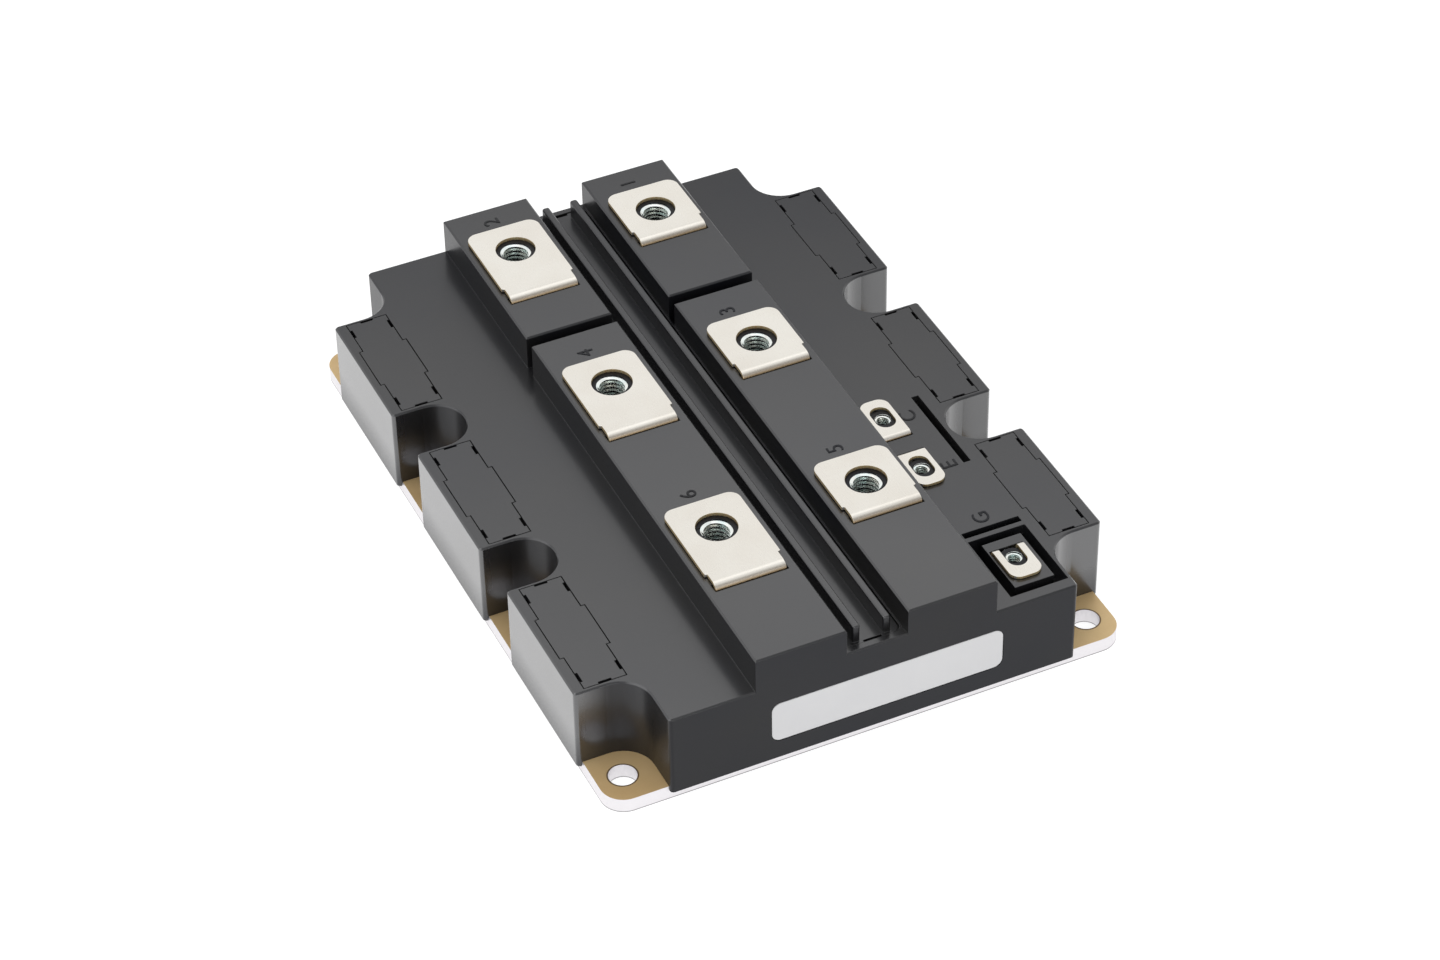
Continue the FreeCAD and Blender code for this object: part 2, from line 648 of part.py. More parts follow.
def add_auxiliary_deck(body):
    """Solid floor under the auxiliary terminals, with nut pockets, leg slots, moat and creepage slots."""
    moat_half_x = "(island_length / 2 + moat_width)"
    moat_half_y = "(island_width / 2 + moat_width)"
    floor = new_sketch(body, "floor", lift=AUX_FLOOR)
    draw_rectangle(floor, "side_slot_start - floor_wall - slot_width", CHAMBER_HALF_LENGTH,
                   "row_outer", "chamber_half_width")
    pad(body, floor, f"{DECK_UNDER} - {AUX_FLOOR}")

    moat = new_sketch(body, "moat", lift="deck_height")
    draw_rectangle(moat, f"island_place - {moat_half_x}", f"island_place + {moat_half_x}",
                   f"island_row - {moat_half_y}", f"island_row + {moat_half_y}")
    draw_rectangle(moat, "island_place - island_length / 2", "island_place + island_length / 2",
                   "island_row - island_width / 2", "island_row + island_width / 2")
    pocket(body, moat, "moat_depth")

    slots = new_sketch(body, "creepage_slots", lift="deck_height")
    draw_rectangle(slots, "side_slot_start", "side_slot_end",
                   "side_slot_row - slot_width / 2", "side_slot_row + slot_width / 2")
    draw_rectangle(slots, "cross_slot_place - slot_width / 2", "cross_slot_place + slot_width / 2",
                   f"island_row - {moat_half_y}", f"island_row + {moat_half_y}")
    pocket(body, slots, "slot_depth")

    pockets = new_sketch(body, "aux_nut_pockets", lift="deck_height")
    wells = new_sketch(body, "aux_wells", lift=AUX_NUT_SEAT)
    legs = new_sketch(body, "aux_leg_slots", lift="deck_height")
    for one in AUXILIARIES:
        draw_hexagon(pockets, one.x, one.y, "aux_nut_flats + 2 * nut_gap")
        draw_circle(wells, one.x, one.y, "aux_well")
        outer = f"({one.x} + {one.side} * ({one.reach} + slot_gap))"
        inner = f"({one.x} + {one.side} * ({one.reach} - aux_bend_inner - aux_thick))"
        low, high = (inner, outer) if one.side == "1" else (outer, inner)
        draw_rectangle(legs, low, high, f"{one.y} - {one.width} / 2 - slot_gap",
                       f"{one.y} + {one.width} / 2 + slot_gap")
    pocket(body, pockets, f"deck_height - {AUX_NUT_SEAT}")
    pocket(body, wells, f"{AUX_NUT_SEAT} - {AUX_WELL_FLOOR}")
    pocket(body, legs, f"deck_height - {AUX_FLOOR}")


def add_label_recess(body):
    """Shallow recess with round corners for the label in the end face."""
    recess = new_sketch(body, "label_recess", plane="YZ_Plane", lift=HALF_LENGTH)
    draw_label(recess, "0")
    pocket(body, recess, "label_recess")
    depth, floor = value("label_recess"), value(f"{HALF_LENGTH} - label_recess")

    def is_corner(edge):
        """The short edges along X at the recess's corners."""
        box = edge.BoundBox
        return abs(box.XLength - depth) < 1e-6 and abs(box.XMin - floor) < 1e-6

    round_edges(body, is_corner, "label_corner", "label_corners")


def draw_label(sketch, shrink):
    """Plan of the label on the end face, before its corners are rounded."""
    reach, rise = f"(label_length / 2 - {shrink})", f"(label_height / 2 - {shrink})"
    draw_rectangle(sketch, f"label_place - {reach}", f"label_place + {reach}",
                   f"label_middle - {rise}", f"label_middle + {rise}")


def make_housing():
    """One-piece moulded housing."""
    body = new_body("housing")
    add_outer_form(body)
    round_outer_form(body)
    hollow_out(body)
    add_strip_pocket(body)
    add_cover_pockets(body)
    add_nut_bosses(body)
    add_leg_slots(body)
    add_auxiliary_deck(body)
    add_label_recess(body)
    return body


# Covers

def make_side_cover(number, x, y):
    """Cover let in flush in a lobe: stepped outline, six small windows at its rim, snap legs below them."""
    body = new_body(f"side_cover_{number}")
    outline = new_sketch(body, "outline")
    draw_outline(outline, cover_corners("0", "0", "0"))
    pad(body, outline, "cover_thick")
    windows = new_sketch(body, "windows", lift="cover_thick")
    legs = new_sketch(body, "legs")
    end, side = "(cover_length / 2)", "(cover_width / 2)"
    reach_x = f"({end} - cover_ledge - snap_gap)"
    reach_y = f"({side} - cover_ledge - snap_gap)"
    half_window = "(window_length / 2)"
    for sign in ("", "-"):
        rim, inner = f"{sign}({end} + cover_tab)", f"{sign}({end} - window_depth)"
        draw_rectangle(windows, *in_order(sign, inner, rim), f"-{half_window}", half_window)
        root, outer = f"{sign}({reach_x} - snap_thick)", f"{sign}{reach_x}"
        draw_rectangle(legs, *in_order(sign, root, outer), f"-{half_window}", half_window)
        for start in (f"({end} - window_inset - window_length)", f"(-{end} + window_inset)"):
            stop = f"{start} + window_length"
            rim, inner = f"{sign}({side} + cover_tab)", f"{sign}({side} - window_depth)"
            draw_rectangle(windows, start, stop, *in_order(sign, inner, rim))
            root, outer = f"{sign}({reach_y} - snap_thick)", f"{sign}{reach_y}"
            draw_rectangle(legs, start, stop, *in_order(sign, root, outer))
    pocket(body, windows, "cover_thick")
    feature = pad(body, legs, "snap_length")
    feature.Reversed = True
    place(body, x, y, COVER_SEAT)
    return body


def make_channel_cover():
    """Strip cover of the channel with two tall fins along it."""
    body = new_body("channel_cover")
    half_length = f"({STRIP_POCKET_HALF_LENGTH} - strip_gap)"
    half_width = f"({STRIP_POCKET_HALF_WIDTH} - strip_gap)"
    outline = new_sketch(body, "outline", lift=STRIP_SEAT)
    draw_rectangle(outline, f"-{half_length}", half_length, f"-{half_width}", half_width)
    pad(body, outline, "strip_thick")
    round_edges(body, is_upright, "strip_corner - strip_gap", "corners")
    notches = new_sketch(body, "notches", lift=STRIP_TOP)
    for sign in ("", "-"):
        rim, inner = f"{sign}({half_length} + strip_gap)", f"{sign}({half_length} - strip_notch_depth)"
        draw_rectangle(notches, *in_order(sign, inner, rim),
                       "-strip_notch_length / 2", "strip_notch_length / 2")
    pocket(body, notches, "strip_thick")
    fins = new_sketch(body, "fins", lift=STRIP_TOP)
    for sign in ("", "-"):
        middle = f"{sign}fin_offset"
        draw_rectangle(fins, f"-{half_length} + fin_inset", f"{half_length} - fin_inset",
                       f"{middle} - fin_thick / 2", f"{middle} + fin_thick / 2")
    pad(body, fins, "fin_height")
    spots = [(sx * value(f"{half_length} - fin_inset"), value(f"{sy} * fin_offset + {side} * fin_thick / 2"))
             for sx in (1, -1) for sy in (1, -1) for side in (1, -1)]
    top = value(f"{STRIP_TOP} + fin_height")
    round_edges(body, lambda edge: stands_at(edge, spots), "fin_end_round", "fin_ends")
    round_edges(body, lambda edge: lies_level(edge, top), "fin_top_round", "fin_tops")
    legs = new_sketch(body, "legs", lift=STRIP_SEAT)
    for sign in ("", "-"):
        outer = f"{sign}({STRIP_POCKET_HALF_WIDTH} - strip_ledge - snap_gap)"
        root = f"{sign}({STRIP_POCKET_HALF_WIDTH} - strip_ledge - snap_gap - snap_thick)"
        for column in (-2, -1, 0, 1, 2):
            middle = f"{column} * mount_pitch * 3 / 5"
            draw_rectangle(legs, f"{middle} - window_length", f"{middle} + window_length",
                           *in_order(sign, root, outer))
    feature = pad(body, legs, "snap_length")
    feature.Reversed = True
    return body


# Terminals: each one is a bent strip with a foot on the circuit

def terminal_near(number):
    """Reach of a main terminal from its hole to the outer face of its leg."""
    return "terminal_near_short" if number % 2 else "terminal_near_long"


def bend_strip(body, far, near, side, under, top, bottom, thick, bend, foot, width):
    """A strip that runs level from its free end, bends down into a leg and ends in a foot turned back."""
    strip = new_sketch(body, "strip", plane="XZ_Plane")
    outer_edges = [(near, top), (near, bottom)]
    inner_edges = [(f"{near} - {thick}", under), (f"{near} - {thick}", f"{bottom} + {thick}")]
    toe = f"{near} - {foot}"
    corners = [(f"-({far})", top), outer_edges[0], outer_edges[1], (toe, bottom),
               (toe, f"{bottom} + {thick}"), inner_edges[1], inner_edges[0], (f"-({far})", under)]
    draw_outline(strip, [(f"{side} * ({x})", z) for x, z in corners])
    pad(body, strip, width, symmetric=True)
    bends = (("outer_bends", outer_edges, f"{bend} + {thick}"), ("inner_bends", inner_edges, bend))
    for name, edges, radius in bends:
        spots = [(value(f"{side} * ({x})"), value(z)) for x, z in edges]
        round_edges(body, lambda edge: crosses_at(edge, spots), radius, name)


def make_main_terminal(number, x, y):
    """Main terminal: wide top plate with a screw hole, narrower neck, leg and foot."""
    body = new_body(f"main_terminal_{number}")
    near = terminal_near(number)
    bottom = f"({SUBSTRATE_TOP} - {TERMINAL_UNDER})"
    bend_strip(body, "terminal_far", near, "1", "0", "terminal_thick", bottom,
               "terminal_thick", "bend_inner", "foot_length", "terminal_width - 2 * terminal_neck_step")
    plate = new_sketch(body, "plate")
    draw_rectangle(plate, "-terminal_far", f"{near} - terminal_neck",
                   "-terminal_width / 2", "terminal_width / 2")
    pad(body, plate, "terminal_thick")
    spots = [(value("-terminal_far"), side * value("terminal_width / 2")) for side in (1, -1)]
    round_edges(body, lambda edge: stands_at(edge, spots), "terminal_corner", "corners")
    hole = new_sketch(body, "hole", lift="terminal_thick")
    draw_circle(hole, "0", "0", "terminal_hole")
    pocket(body, hole, "terminal_thick")
    place(body, x, y, TERMINAL_UNDER)
    return body


def make_auxiliary_terminal(one):
    """Auxiliary terminal: small bent strip with a rounded free end and an oblong or open screw slot."""
    body = new_body(f"{one.name}_terminal")
    bend_strip(body, one.free, one.reach, one.side, "0", "aux_thick", f"({SUBSTRATE_TOP} - {AUX_UNDER})",
               "aux_thick", "aux_bend_inner", "aux_foot", one.width)
    free_x = value(f"-1 * {one.side} * {one.free}")
    spots = [(free_x, turn * value(f"{one.width} / 2")) for turn in (1, -1)]
    round_edges(body, lambda edge: stands_at(edge, spots), "aux_corner", "corners")
    half = f"({one.slot_width} / 2)"
    reach = f"({one.slot_length} / 2 - {half})"
    slot = new_sketch(body, "slot", lift="aux_thick")
    draw_oblong(slot, f"-{reach}", reach, half)
    pocket(body, slot, "aux_thick")
    if one.is_open:
        mouth = new_sketch(body, "slot_mouth", lift="aux_thick")
        draw_rectangle(mouth, f"-{one.reach} - slot_gap", "0", f"-{half}", half)
        pocket(body, mouth, "aux_thick + aux_bend_inner + gate_slot_drop")
    place(body, one.x, one.y, AUX_UNDER)
    return body


# Nuts

def make_nut(name, x, y, seat, flats, height, bore, lead):
    """Hexagon nut with a plain bore at its thread's size and a lead-in at each mouth."""
    body = new_body(name)
    outline = new_sketch(body, "outline")
    draw_hexagon(outline, "0", "0", flats)
    pad(body, outline, height)
    hole = new_sketch(body, "hole", lift=height)
    draw_circle(hole, "0", "0", bore)
    pocket(body, hole, height)
    radius = value(bore)

    def is_mouth(edge):
        """The two circles where the bore meets the faces."""
        box = edge.BoundBox
        return box.ZLength < 1e-6 and abs(box.XLength - 2 * radius) < 1e-4

    chamfer_edges(body, is_mouth, lead, "leads")
    place(body, x, y, seat)
    return body


# Power circuit

def make_box(name, x, y, z, length, width, height):
    """A plain block centred over x, y with its underside at z."""
    block = doc.addObject("Part::Box", name)
    bind(block, "Length", length)
    bind(block, "Width", width)
    bind(block, "Height", height)
    place(block, f"{x} - ({length}) / 2", f"{y} - ({width}) / 2", z)
    return block


def substrate_spots():
    """Place along the module and side of the six ceramic substrates, numbered as the terminals above them."""
    columns = ("-mount_pitch", "0", "mount_pitch")
    return [(x, side) for x in columns for side in ("", "-")]


def make_substrates():
    """Six copper-clad ceramic substrates on the base plate."""
    blocks = []
    for number, (x, side) in enumerate(substrate_spots(), start=1):
        blocks.append(make_box(f"substrate_{number}", x, f"{side}substrate_row", "plate_thick",
                               "substrate_length", "substrate_width", "substrate_thick"))
    return blocks


def make_chip_group(name, rows):
    """Chips of one kind on all the substrates, in two columns, as one group of separate solids.

    The rows count inwards from the one beside the feet of the auxiliary terminals.
    """
    chips = []
    for x, side in substrate_spots():
        for column in ("chip_column", "-chip_column"):
            for row in rows:
                chips.append(make_box(f"{name}_{len(chips) + 1}", f"({x} + {column})",
                                      f"{side}(chip_row - chip_pitch * {row})", SUBSTRATE_TOP,
                                      "chip_size", "chip_size", "chip_thick"))
    group = doc.addObject("Part::Compound", name)
    group.Links = chips
    return group


def make_label():
    """Blank label in its recess on the end face."""
    body = new_body("label")
    outline = new_sketch(body, "outline", plane="YZ_Plane", lift=f"{HALF_LENGTH} - label_recess")
    draw_label(outline, "label_gap")
    pad(body, outline, "label_thick")
    round_edges(body, lambda edge: edge.BoundBox.XLength > 1e-6, "label_corner - label_gap", "corners")
    return body


def make_all():
    """Builds every piece and returns them in the order of the bench."""
    pieces = [make_base_plate(), make_housing()]
    for number, (x, y) in enumerate(lobe_spots(), start=1):
        pieces.append(make_side_cover(number, x, y))
    pieces.append(make_channel_cover())
    for number, x, y in terminal_spots():
        pieces.append(make_main_terminal(number, x, y))
        pieces.append(make_nut(f"main_nut_{number}", x, y, NUT_SEAT,
                               "nut_flats", "nut_height", "nut_bore", "nut_lead"))
    for one in AUXILIARIES:
        pieces.append(make_auxiliary_terminal(one))
        pieces.append(make_nut(f"{one.name}_nut", one.x, one.y, AUX_NUT_SEAT,
                               "aux_nut_flats", "aux_nut_height", "aux_nut_bore", "aux_nut_lead"))
    pieces += make_substrates()
    pieces.append(make_chip_group("igbt_chips", (2, 1)))
    pieces.append(make_chip_group("diode_chips", (0,)))
    pieces.append(make_label())
    return pieces


def check_and_write(pieces):
    """Checks every object and every piece, then writes one file for each piece."""
    doc.recompute()
    for thing in doc.Objects:
        if "Invalid" in thing.State or "Error" in thing.State:
            raise RuntimeError(f"{thing.Name} failed: {thing.State}")
    os.makedirs("parts", exist_ok=True)
    for piece in pieces:
        if piece.Shape.isNull() or not piece.Shape.isValid():
            raise RuntimeError(f"{piece.Label} has no valid shape")
    for piece in pieces:
        piece.Shape.exportStep(f"parts/{piece.Label}.step")


check_and_write(make_all())
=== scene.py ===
"""Looks of a power transistor module: finishes, threaded nuts, folded terminals, marks and the studio round it."""

import logging
import math
from dataclasses import dataclass, field
from enum import Enum
from typing import Callable

import bpy
from mathutils import Matrix, Vector


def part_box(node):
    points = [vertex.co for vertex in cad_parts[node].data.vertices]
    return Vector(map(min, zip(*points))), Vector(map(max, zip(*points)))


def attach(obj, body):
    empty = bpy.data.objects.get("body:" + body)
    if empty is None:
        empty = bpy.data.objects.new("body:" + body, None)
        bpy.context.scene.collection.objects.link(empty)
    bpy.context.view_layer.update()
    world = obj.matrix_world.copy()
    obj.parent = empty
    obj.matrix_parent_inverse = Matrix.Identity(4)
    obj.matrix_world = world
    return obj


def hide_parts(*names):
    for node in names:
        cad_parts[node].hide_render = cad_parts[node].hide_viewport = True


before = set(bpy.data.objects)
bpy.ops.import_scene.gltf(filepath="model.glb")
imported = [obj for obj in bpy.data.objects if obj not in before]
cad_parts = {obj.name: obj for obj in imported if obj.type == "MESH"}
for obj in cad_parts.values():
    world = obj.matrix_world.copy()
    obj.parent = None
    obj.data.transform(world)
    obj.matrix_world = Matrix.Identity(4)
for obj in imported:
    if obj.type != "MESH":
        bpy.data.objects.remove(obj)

LOG = logging.getLogger("power_module")
MM = 0.001
HAIR = 0.01 * MM  # the slack in comparing places
SHARP = 35.0  # edges sharper than this many degrees are eased and shaded sharp
SOFT, RICH, FINE = 2.0, 3.0, 4.0  # detail of a noise pattern
WHITE = (1.0, 1.0, 1.0, 1.0)
Colour = tuple[float, float, float]
Point = tuple[float, float, float]
Span = tuple[float, float]
Socket = bpy.types.NodeSocket
Sockets = bpy.types.bpy_prop_collection


class Wiring:
    """Adds and joins the nodes of one tree."""

    def __init__(self, tree: bpy.types.NodeTree) -> None:
        """Takes the tree in hand."""
        self.tree = tree

    def add(self, kind: str, **settings: object) -> bpy.types.Node:
        """Adds a node.

        Args:
            kind: The node's type.
            settings: Properties set on it.

        Returns:
            The new node.
        """
        node = self.tree.nodes.new(kind)
        for name, setting in settings.items():
            setattr(node, name, setting)
        return node

    def join(self, source: Socket, target: Socket) -> None:
        """Links one socket to another."""
        self.tree.links.new(source, target)

    def split(self, vector: Socket) -> Sockets:
        """Splits a vector into its X, Y and Z."""
        parts = self.add("ShaderNodeSeparateXYZ")
        self.join(vector, parts.inputs["Vector"])
        return parts.outputs

    def spread(self, value: Socket, low: float, high: float, start: float = 0.3, end: float = 0.7) -> Socket:
        """Maps a value to a range.

        Args:
            value: The socket to map.
            low: Result at start.
            high: Result at end.
            start: Value that gives low.
            end: Value that gives high.

        Returns:
            The socket with the mapped value.
        """
        node = self.add("ShaderNodeMapRange")
        for name, number in (("From Min", start), ("From Max", end), ("To Min", low), ("To Max", high)):
            node.inputs[name].default_value = number
        self.join(value, node.inputs["Value"])
        return node.outputs["Result"]

    def reckon(self, kind: str, first: Socket, second: Socket | float = 0.0) -> Socket:
        """Adds a math node.

        Args:
            kind: Its operation.
            first: First socket.
            second: Second socket or a number.

        Returns:
            The socket with its result.
        """
        node = self.add("ShaderNodeMath", operation=kind)
        self.join(first, node.inputs[0])
        if isinstance(second, Socket):
            self.join(second, node.inputs[1])
        else:
            node.inputs[1].default_value = second
        return node.outputs["Value"]


class Graph(Wiring):
    """The node graph of one material, with its principled shader."""

    def __init__(self, name: str) -> None:
        """Starts a material.

        Args:
            name: What the material is called.
        """
        self.material = bpy.data.materials.new(name)
        self.material.use_nodes = True
        super().__init__(self.material.node_tree)
        self.shader = self.tree.nodes["Principled BSDF"]
        self.place = self.add("ShaderNodeTexCoord").outputs["Object"]

    def noise(self, scale: float, detail: float = SOFT, stretch: Point = (1.0, 1.0, 1.0)) -> Socket:
        """Adds a noise pattern on the piece's own place.

        Args:
            scale: Features per metre.
            detail: Octaves, such as SOFT, RICH or FINE.
            stretch: Scale along each axis before the pattern.

        Returns:
            The socket with its value.
        """
        mapping = self.add("ShaderNodeMapping")
        mapping.inputs["Scale"].default_value = stretch
        self.join(self.place, mapping.inputs["Vector"])
        texture = self.add("ShaderNodeTexNoise")
        texture.inputs["Scale"].default_value = scale
        texture.inputs["Detail"].default_value = detail
        self.join(mapping.outputs["Vector"], texture.inputs["Vector"])
        return texture.outputs["Fac"]

    def blend(self, share: Socket, first: Socket | Colour, second: Socket | Colour) -> Socket:
        """Mixes two colours, each a colour or a socket.

        Args:
            share: How much of the second.
            first: Colour at a share of 0.
            second: Colour at a share of 1.

        Returns:
            The socket with the mixed colour.
        """
        node = self.add("ShaderNodeMix", data_type="RGBA")
        self.join(share, node.inputs["Factor"])
        for socket, colour in ((node.inputs["A"], first), (node.inputs["B"], second)):
            if isinstance(colour, Socket):
                self.join(colour, socket)
            else:
                socket.default_value = (*colour, 1.0)
        return node.outputs["Result"]

    def bump(self, height: Socket, strength: float, depth: float, rounded: Socket | None = None) -> None:
        """Roughens the surface by a height pattern.

        Args:
            height: The pattern.
            strength: Share of the effect.
            depth: Depth of the relief in metres.
            rounded: A normal with rounded edges to start from.
        """
        node = self.add("ShaderNodeBump")
        node.inputs["Strength"].default_value = strength
        node.inputs["Distance"].default_value = depth
        self.join(height, node.inputs["Height"])
        if rounded:
            self.join(rounded, node.inputs["Normal"])
        for target in ("Normal", "Coat Normal"):
            self.join(node.outputs["Normal"], self.shader.inputs[target])

    def colour(self, value: Socket) -> None:
        """Uses a socket as the base colour."""
        self.join(value, self.shader.inputs["Base Color"])

    def roughness(self, value: Socket) -> None:
        """Uses a socket as the roughness."""
        self.join(value, self.shader.inputs["Roughness"])

    def level(self, name: str, value: float | tuple[float, ...]) -> None:
        """Sets one of the shader's own sockets."""
        self.shader.inputs[name].default_value = value

    def facing(self) -> Sockets:
        """The surface's true normal, split into its X, Y and Z."""
        return self.split(self.add("ShaderNodeNewGeometry").outputs["True Normal"])

    def soften(self, radius: float) -> Socket:
        """Rounds the shading at sharp edges.

        Args:
            radius: Radius of the rounding in metres.

        Returns:
            The socket with the rounded normal.
        """
        node = self.add("ShaderNodeBevel", samples=4)
        node.inputs["Radius"].default_value = radius
        return node.outputs["Normal"]


@dataclass(frozen=True)
class MouldedPlastic:
    """Black glass-filled moulding compound: fine grain, cloudy flow marks and a glossy skin, whose share by place and
    facing is painted sheen and shade.
    """

    name: str = "moulded_plastic"
    dark: Colour = (0.006, 0.0065, 0.009)
    light: Colour = (0.013, 0.0125, 0.012)
    cold: Colour = (0.88, 0.90, 1.0)
    rough: Span = (0.30, 0.42)
    density: float = 1.36
    cloud: float = 26.0
    cloud_share: float = 0.6
    speckle: float = 1900.0
    grain: float = 1400.0
    grain_share: float = 0.25
    grain_depth: float = 0.03 * MM
    soft_edge: float = 0.25 * MM
    skin_density: float = 2.0
    skin_rough: float = 0.20
    # top_skin to inner_skin set the coat's share by place: painted sheen and shade
    top_skin: Span = (0.18, 0.80)
    top_span: Span = (37.0 * MM, 277.0 * MM)
    top_across: float = 0.55
    top_lift: float = 6.0
    wall_skin: float = 1.0
    wall_ends: Span = (94.2 * MM, 94.8 * MM)
    wall_foot: Span = (4.0 * MM, 13.0 * MM)
    foot_skin: float = 0.45
    wall_front: Span = (-68.4 * MM, -61.0 * MM)
    wall_back: Span = (44.0 * MM, 45.0 * MM)
    inner_skin: float = 0.15

    def painted_top_sheen(self, graph: Graph, place: Sockets) -> Socket:
        """Painted sheen on the level faces: more coat towards +X and -Y, and on the raised blocks.

        Args:
            graph: The material's nodes.
            place: The place on the piece, split.

        Returns:
            The socket with the share of the skin.
        """
        along = graph.reckon("SUBTRACT", place["X"], graph.reckon("MULTIPLY", place["Y"], self.top_across))
        along = graph.reckon("ADD", along, graph.reckon("MULTIPLY", place["Z"], self.top_lift))
        return graph.spread(along, *self.top_skin, *self.top_span)

    def painted_wall_sheen(self, graph: Graph, place: Sockets) -> Socket:
        """Painted sheen and shade on the walls: less coat at both ends, low down, and inside the outer walls.

        Args:
            graph: The material's nodes.
            place: The place on the piece, split.

        Returns:
            The socket with the share of the skin.
        """
        ends = graph.spread(graph.reckon("ABSOLUTE", place["X"]), self.wall_skin, 0.0, *self.wall_ends)
        foot = graph.spread(place["Z"], self.foot_skin, 1.0, *self.wall_foot)
        front = graph.spread(place["Y"], 1.0, self.inner_skin, *self.wall_front)
        back = graph.spread(place["Y"], 0.0, 1.0, *self.wall_back)
        outer = graph.reckon("MAXIMUM", front, back)
        return graph.reckon("MULTIPLY", graph.reckon("MULTIPLY", ends, foot), outer)

    def material(self) -> bpy.types.Material:
        """Builds the finish.

        Returns:
            The material.
        """
        graph = Graph(self.name)
        clouds = graph.noise(self.cloud, RICH)
        specks = graph.noise(self.speckle, SOFT)
        graph.colour(graph.blend(graph.spread(clouds, 0.0, 1.0), self.dark, self.light))
        mixed = graph.reckon("ADD", graph.reckon("MULTIPLY", clouds, self.cloud_share),
                             graph.reckon("MULTIPLY", specks, 1.0 - self.cloud_share))
        graph.roughness(graph.spread(mixed, *self.rough))
        graph.bump(graph.noise(self.grain, FINE), self.grain_share, self.grain_depth, graph.soften(self.soft_edge))
        graph.level("IOR", self.density)
        graph.level("Specular Tint", (*self.cold, 1.0))
        place = graph.split(graph.place)
        # Coat weight: a glossy skin whose share by facing and place is painted sheen and shade
        skin = graph.add("ShaderNodeMix")
        graph.join(graph.reckon("ABSOLUTE", graph.facing()["Z"]), skin.inputs["Factor"])
        graph.join(self.painted_wall_sheen(graph, place), skin.inputs["A"])
        graph.join(self.painted_top_sheen(graph, place), skin.inputs["B"])
        graph.join(skin.outputs["Result"], graph.shader.inputs["Coat Weight"])
        graph.level("Coat IOR", self.skin_density)
        graph.level("Coat Roughness", self.skin_rough)
        return graph.material


@dataclass(frozen=True)
class SatinNickel:
    """Rolled sheet with a satin nickel finish: warm silver, fine rolling lines and a darker brown tint low on the
    bend, where it meets the block.
    """

    name: str
    tint_start: float
    tint_end: float
    bright: Colour = (0.87, 0.84, 0.775)
    stained: Colour = (0.83, 0.79, 0.72)
    tint: Colour = (0.34, 0.25, 0.15)
    rough: Span = (0.26, 0.34)
    stain: float = 90.0
    stain_span: Span = (0.35, 0.75)
    line: float = 6000.0
    line_stretch: Point = (0.06, 1.0, 1.0)
    line_share: float = 0.12
    line_depth: float = 0.01 * MM

    def material(self) -> bpy.types.Material:
        """Builds the finish.

        Returns:
            The material.
        """
        graph = Graph(self.name)
        stains = graph.noise(self.stain, RICH)
        rolling = graph.noise(self.line, SOFT, self.line_stretch)
        sheet = graph.blend(graph.spread(stains, 0.0, 1.0, *self.stain_span), self.bright, self.stained)
        low = graph.spread(graph.split(graph.place)["Z"], 0.0, 1.0, self.tint_start, self.tint_end)
        graph.colour(graph.blend(low, sheet, self.tint))
        graph.roughness(graph.spread(rolling, *self.rough))
        graph.bump(rolling, self.line_share, self.line_depth)
        graph.level("Metallic", 1.0)
        return graph.material


@dataclass(frozen=True)
class ShearedEdge:
    """The cut edge of a stamped sheet, where the copper shows through the plating."""

    name: str = "sheared_edge"
    pale: Colour = (0.50, 0.45, 0.27)
    deep: Colour = (0.42, 0.27, 0.13)
    rough: Span = (0.35, 0.6)
    metal: float = 0.6
    burr: float = 2600.0
    burr_stretch: Point = (1.0, 1.0, 0.2)

    def material(self) -> bpy.types.Material:
        """Builds the finish.

        Returns:
            The material.
        """
        graph = Graph(self.name)
        burr = graph.noise(self.burr, RICH, self.burr_stretch)
        graph.colour(graph.blend(graph.spread(burr, 0.0, 1.0), self.pale, self.deep))
        graph.roughness(graph.spread(burr, *self.rough))
        graph.level("Metallic", self.metal)
        return graph.material


@dataclass(frozen=True)
class PlatedSteel:
    """Bright zinc-plated steel of the nuts, with a faint green and gold cast."""

    name: str = "plated_steel"
    cool: Colour = (0.86, 0.97, 0.96)
    warm: Colour = (0.97, 0.96, 0.91)
    rough: Span = (0.22, 0.32)
    cast: float = 420.0
    wear: float = 2500.0

    def material(self) -> bpy.types.Material:
        """Builds the finish.

        Returns:
            The material.
        """
        graph = Graph(self.name)
        cast = graph.noise(self.cast, RICH)
        graph.colour(graph.blend(graph.spread(cast, 0.0, 1.0), self.cool, self.warm))
        graph.roughness(graph.spread(graph.noise(self.wear, SOFT), *self.rough))
        graph.level("Metallic", 1.0)
        return graph.material


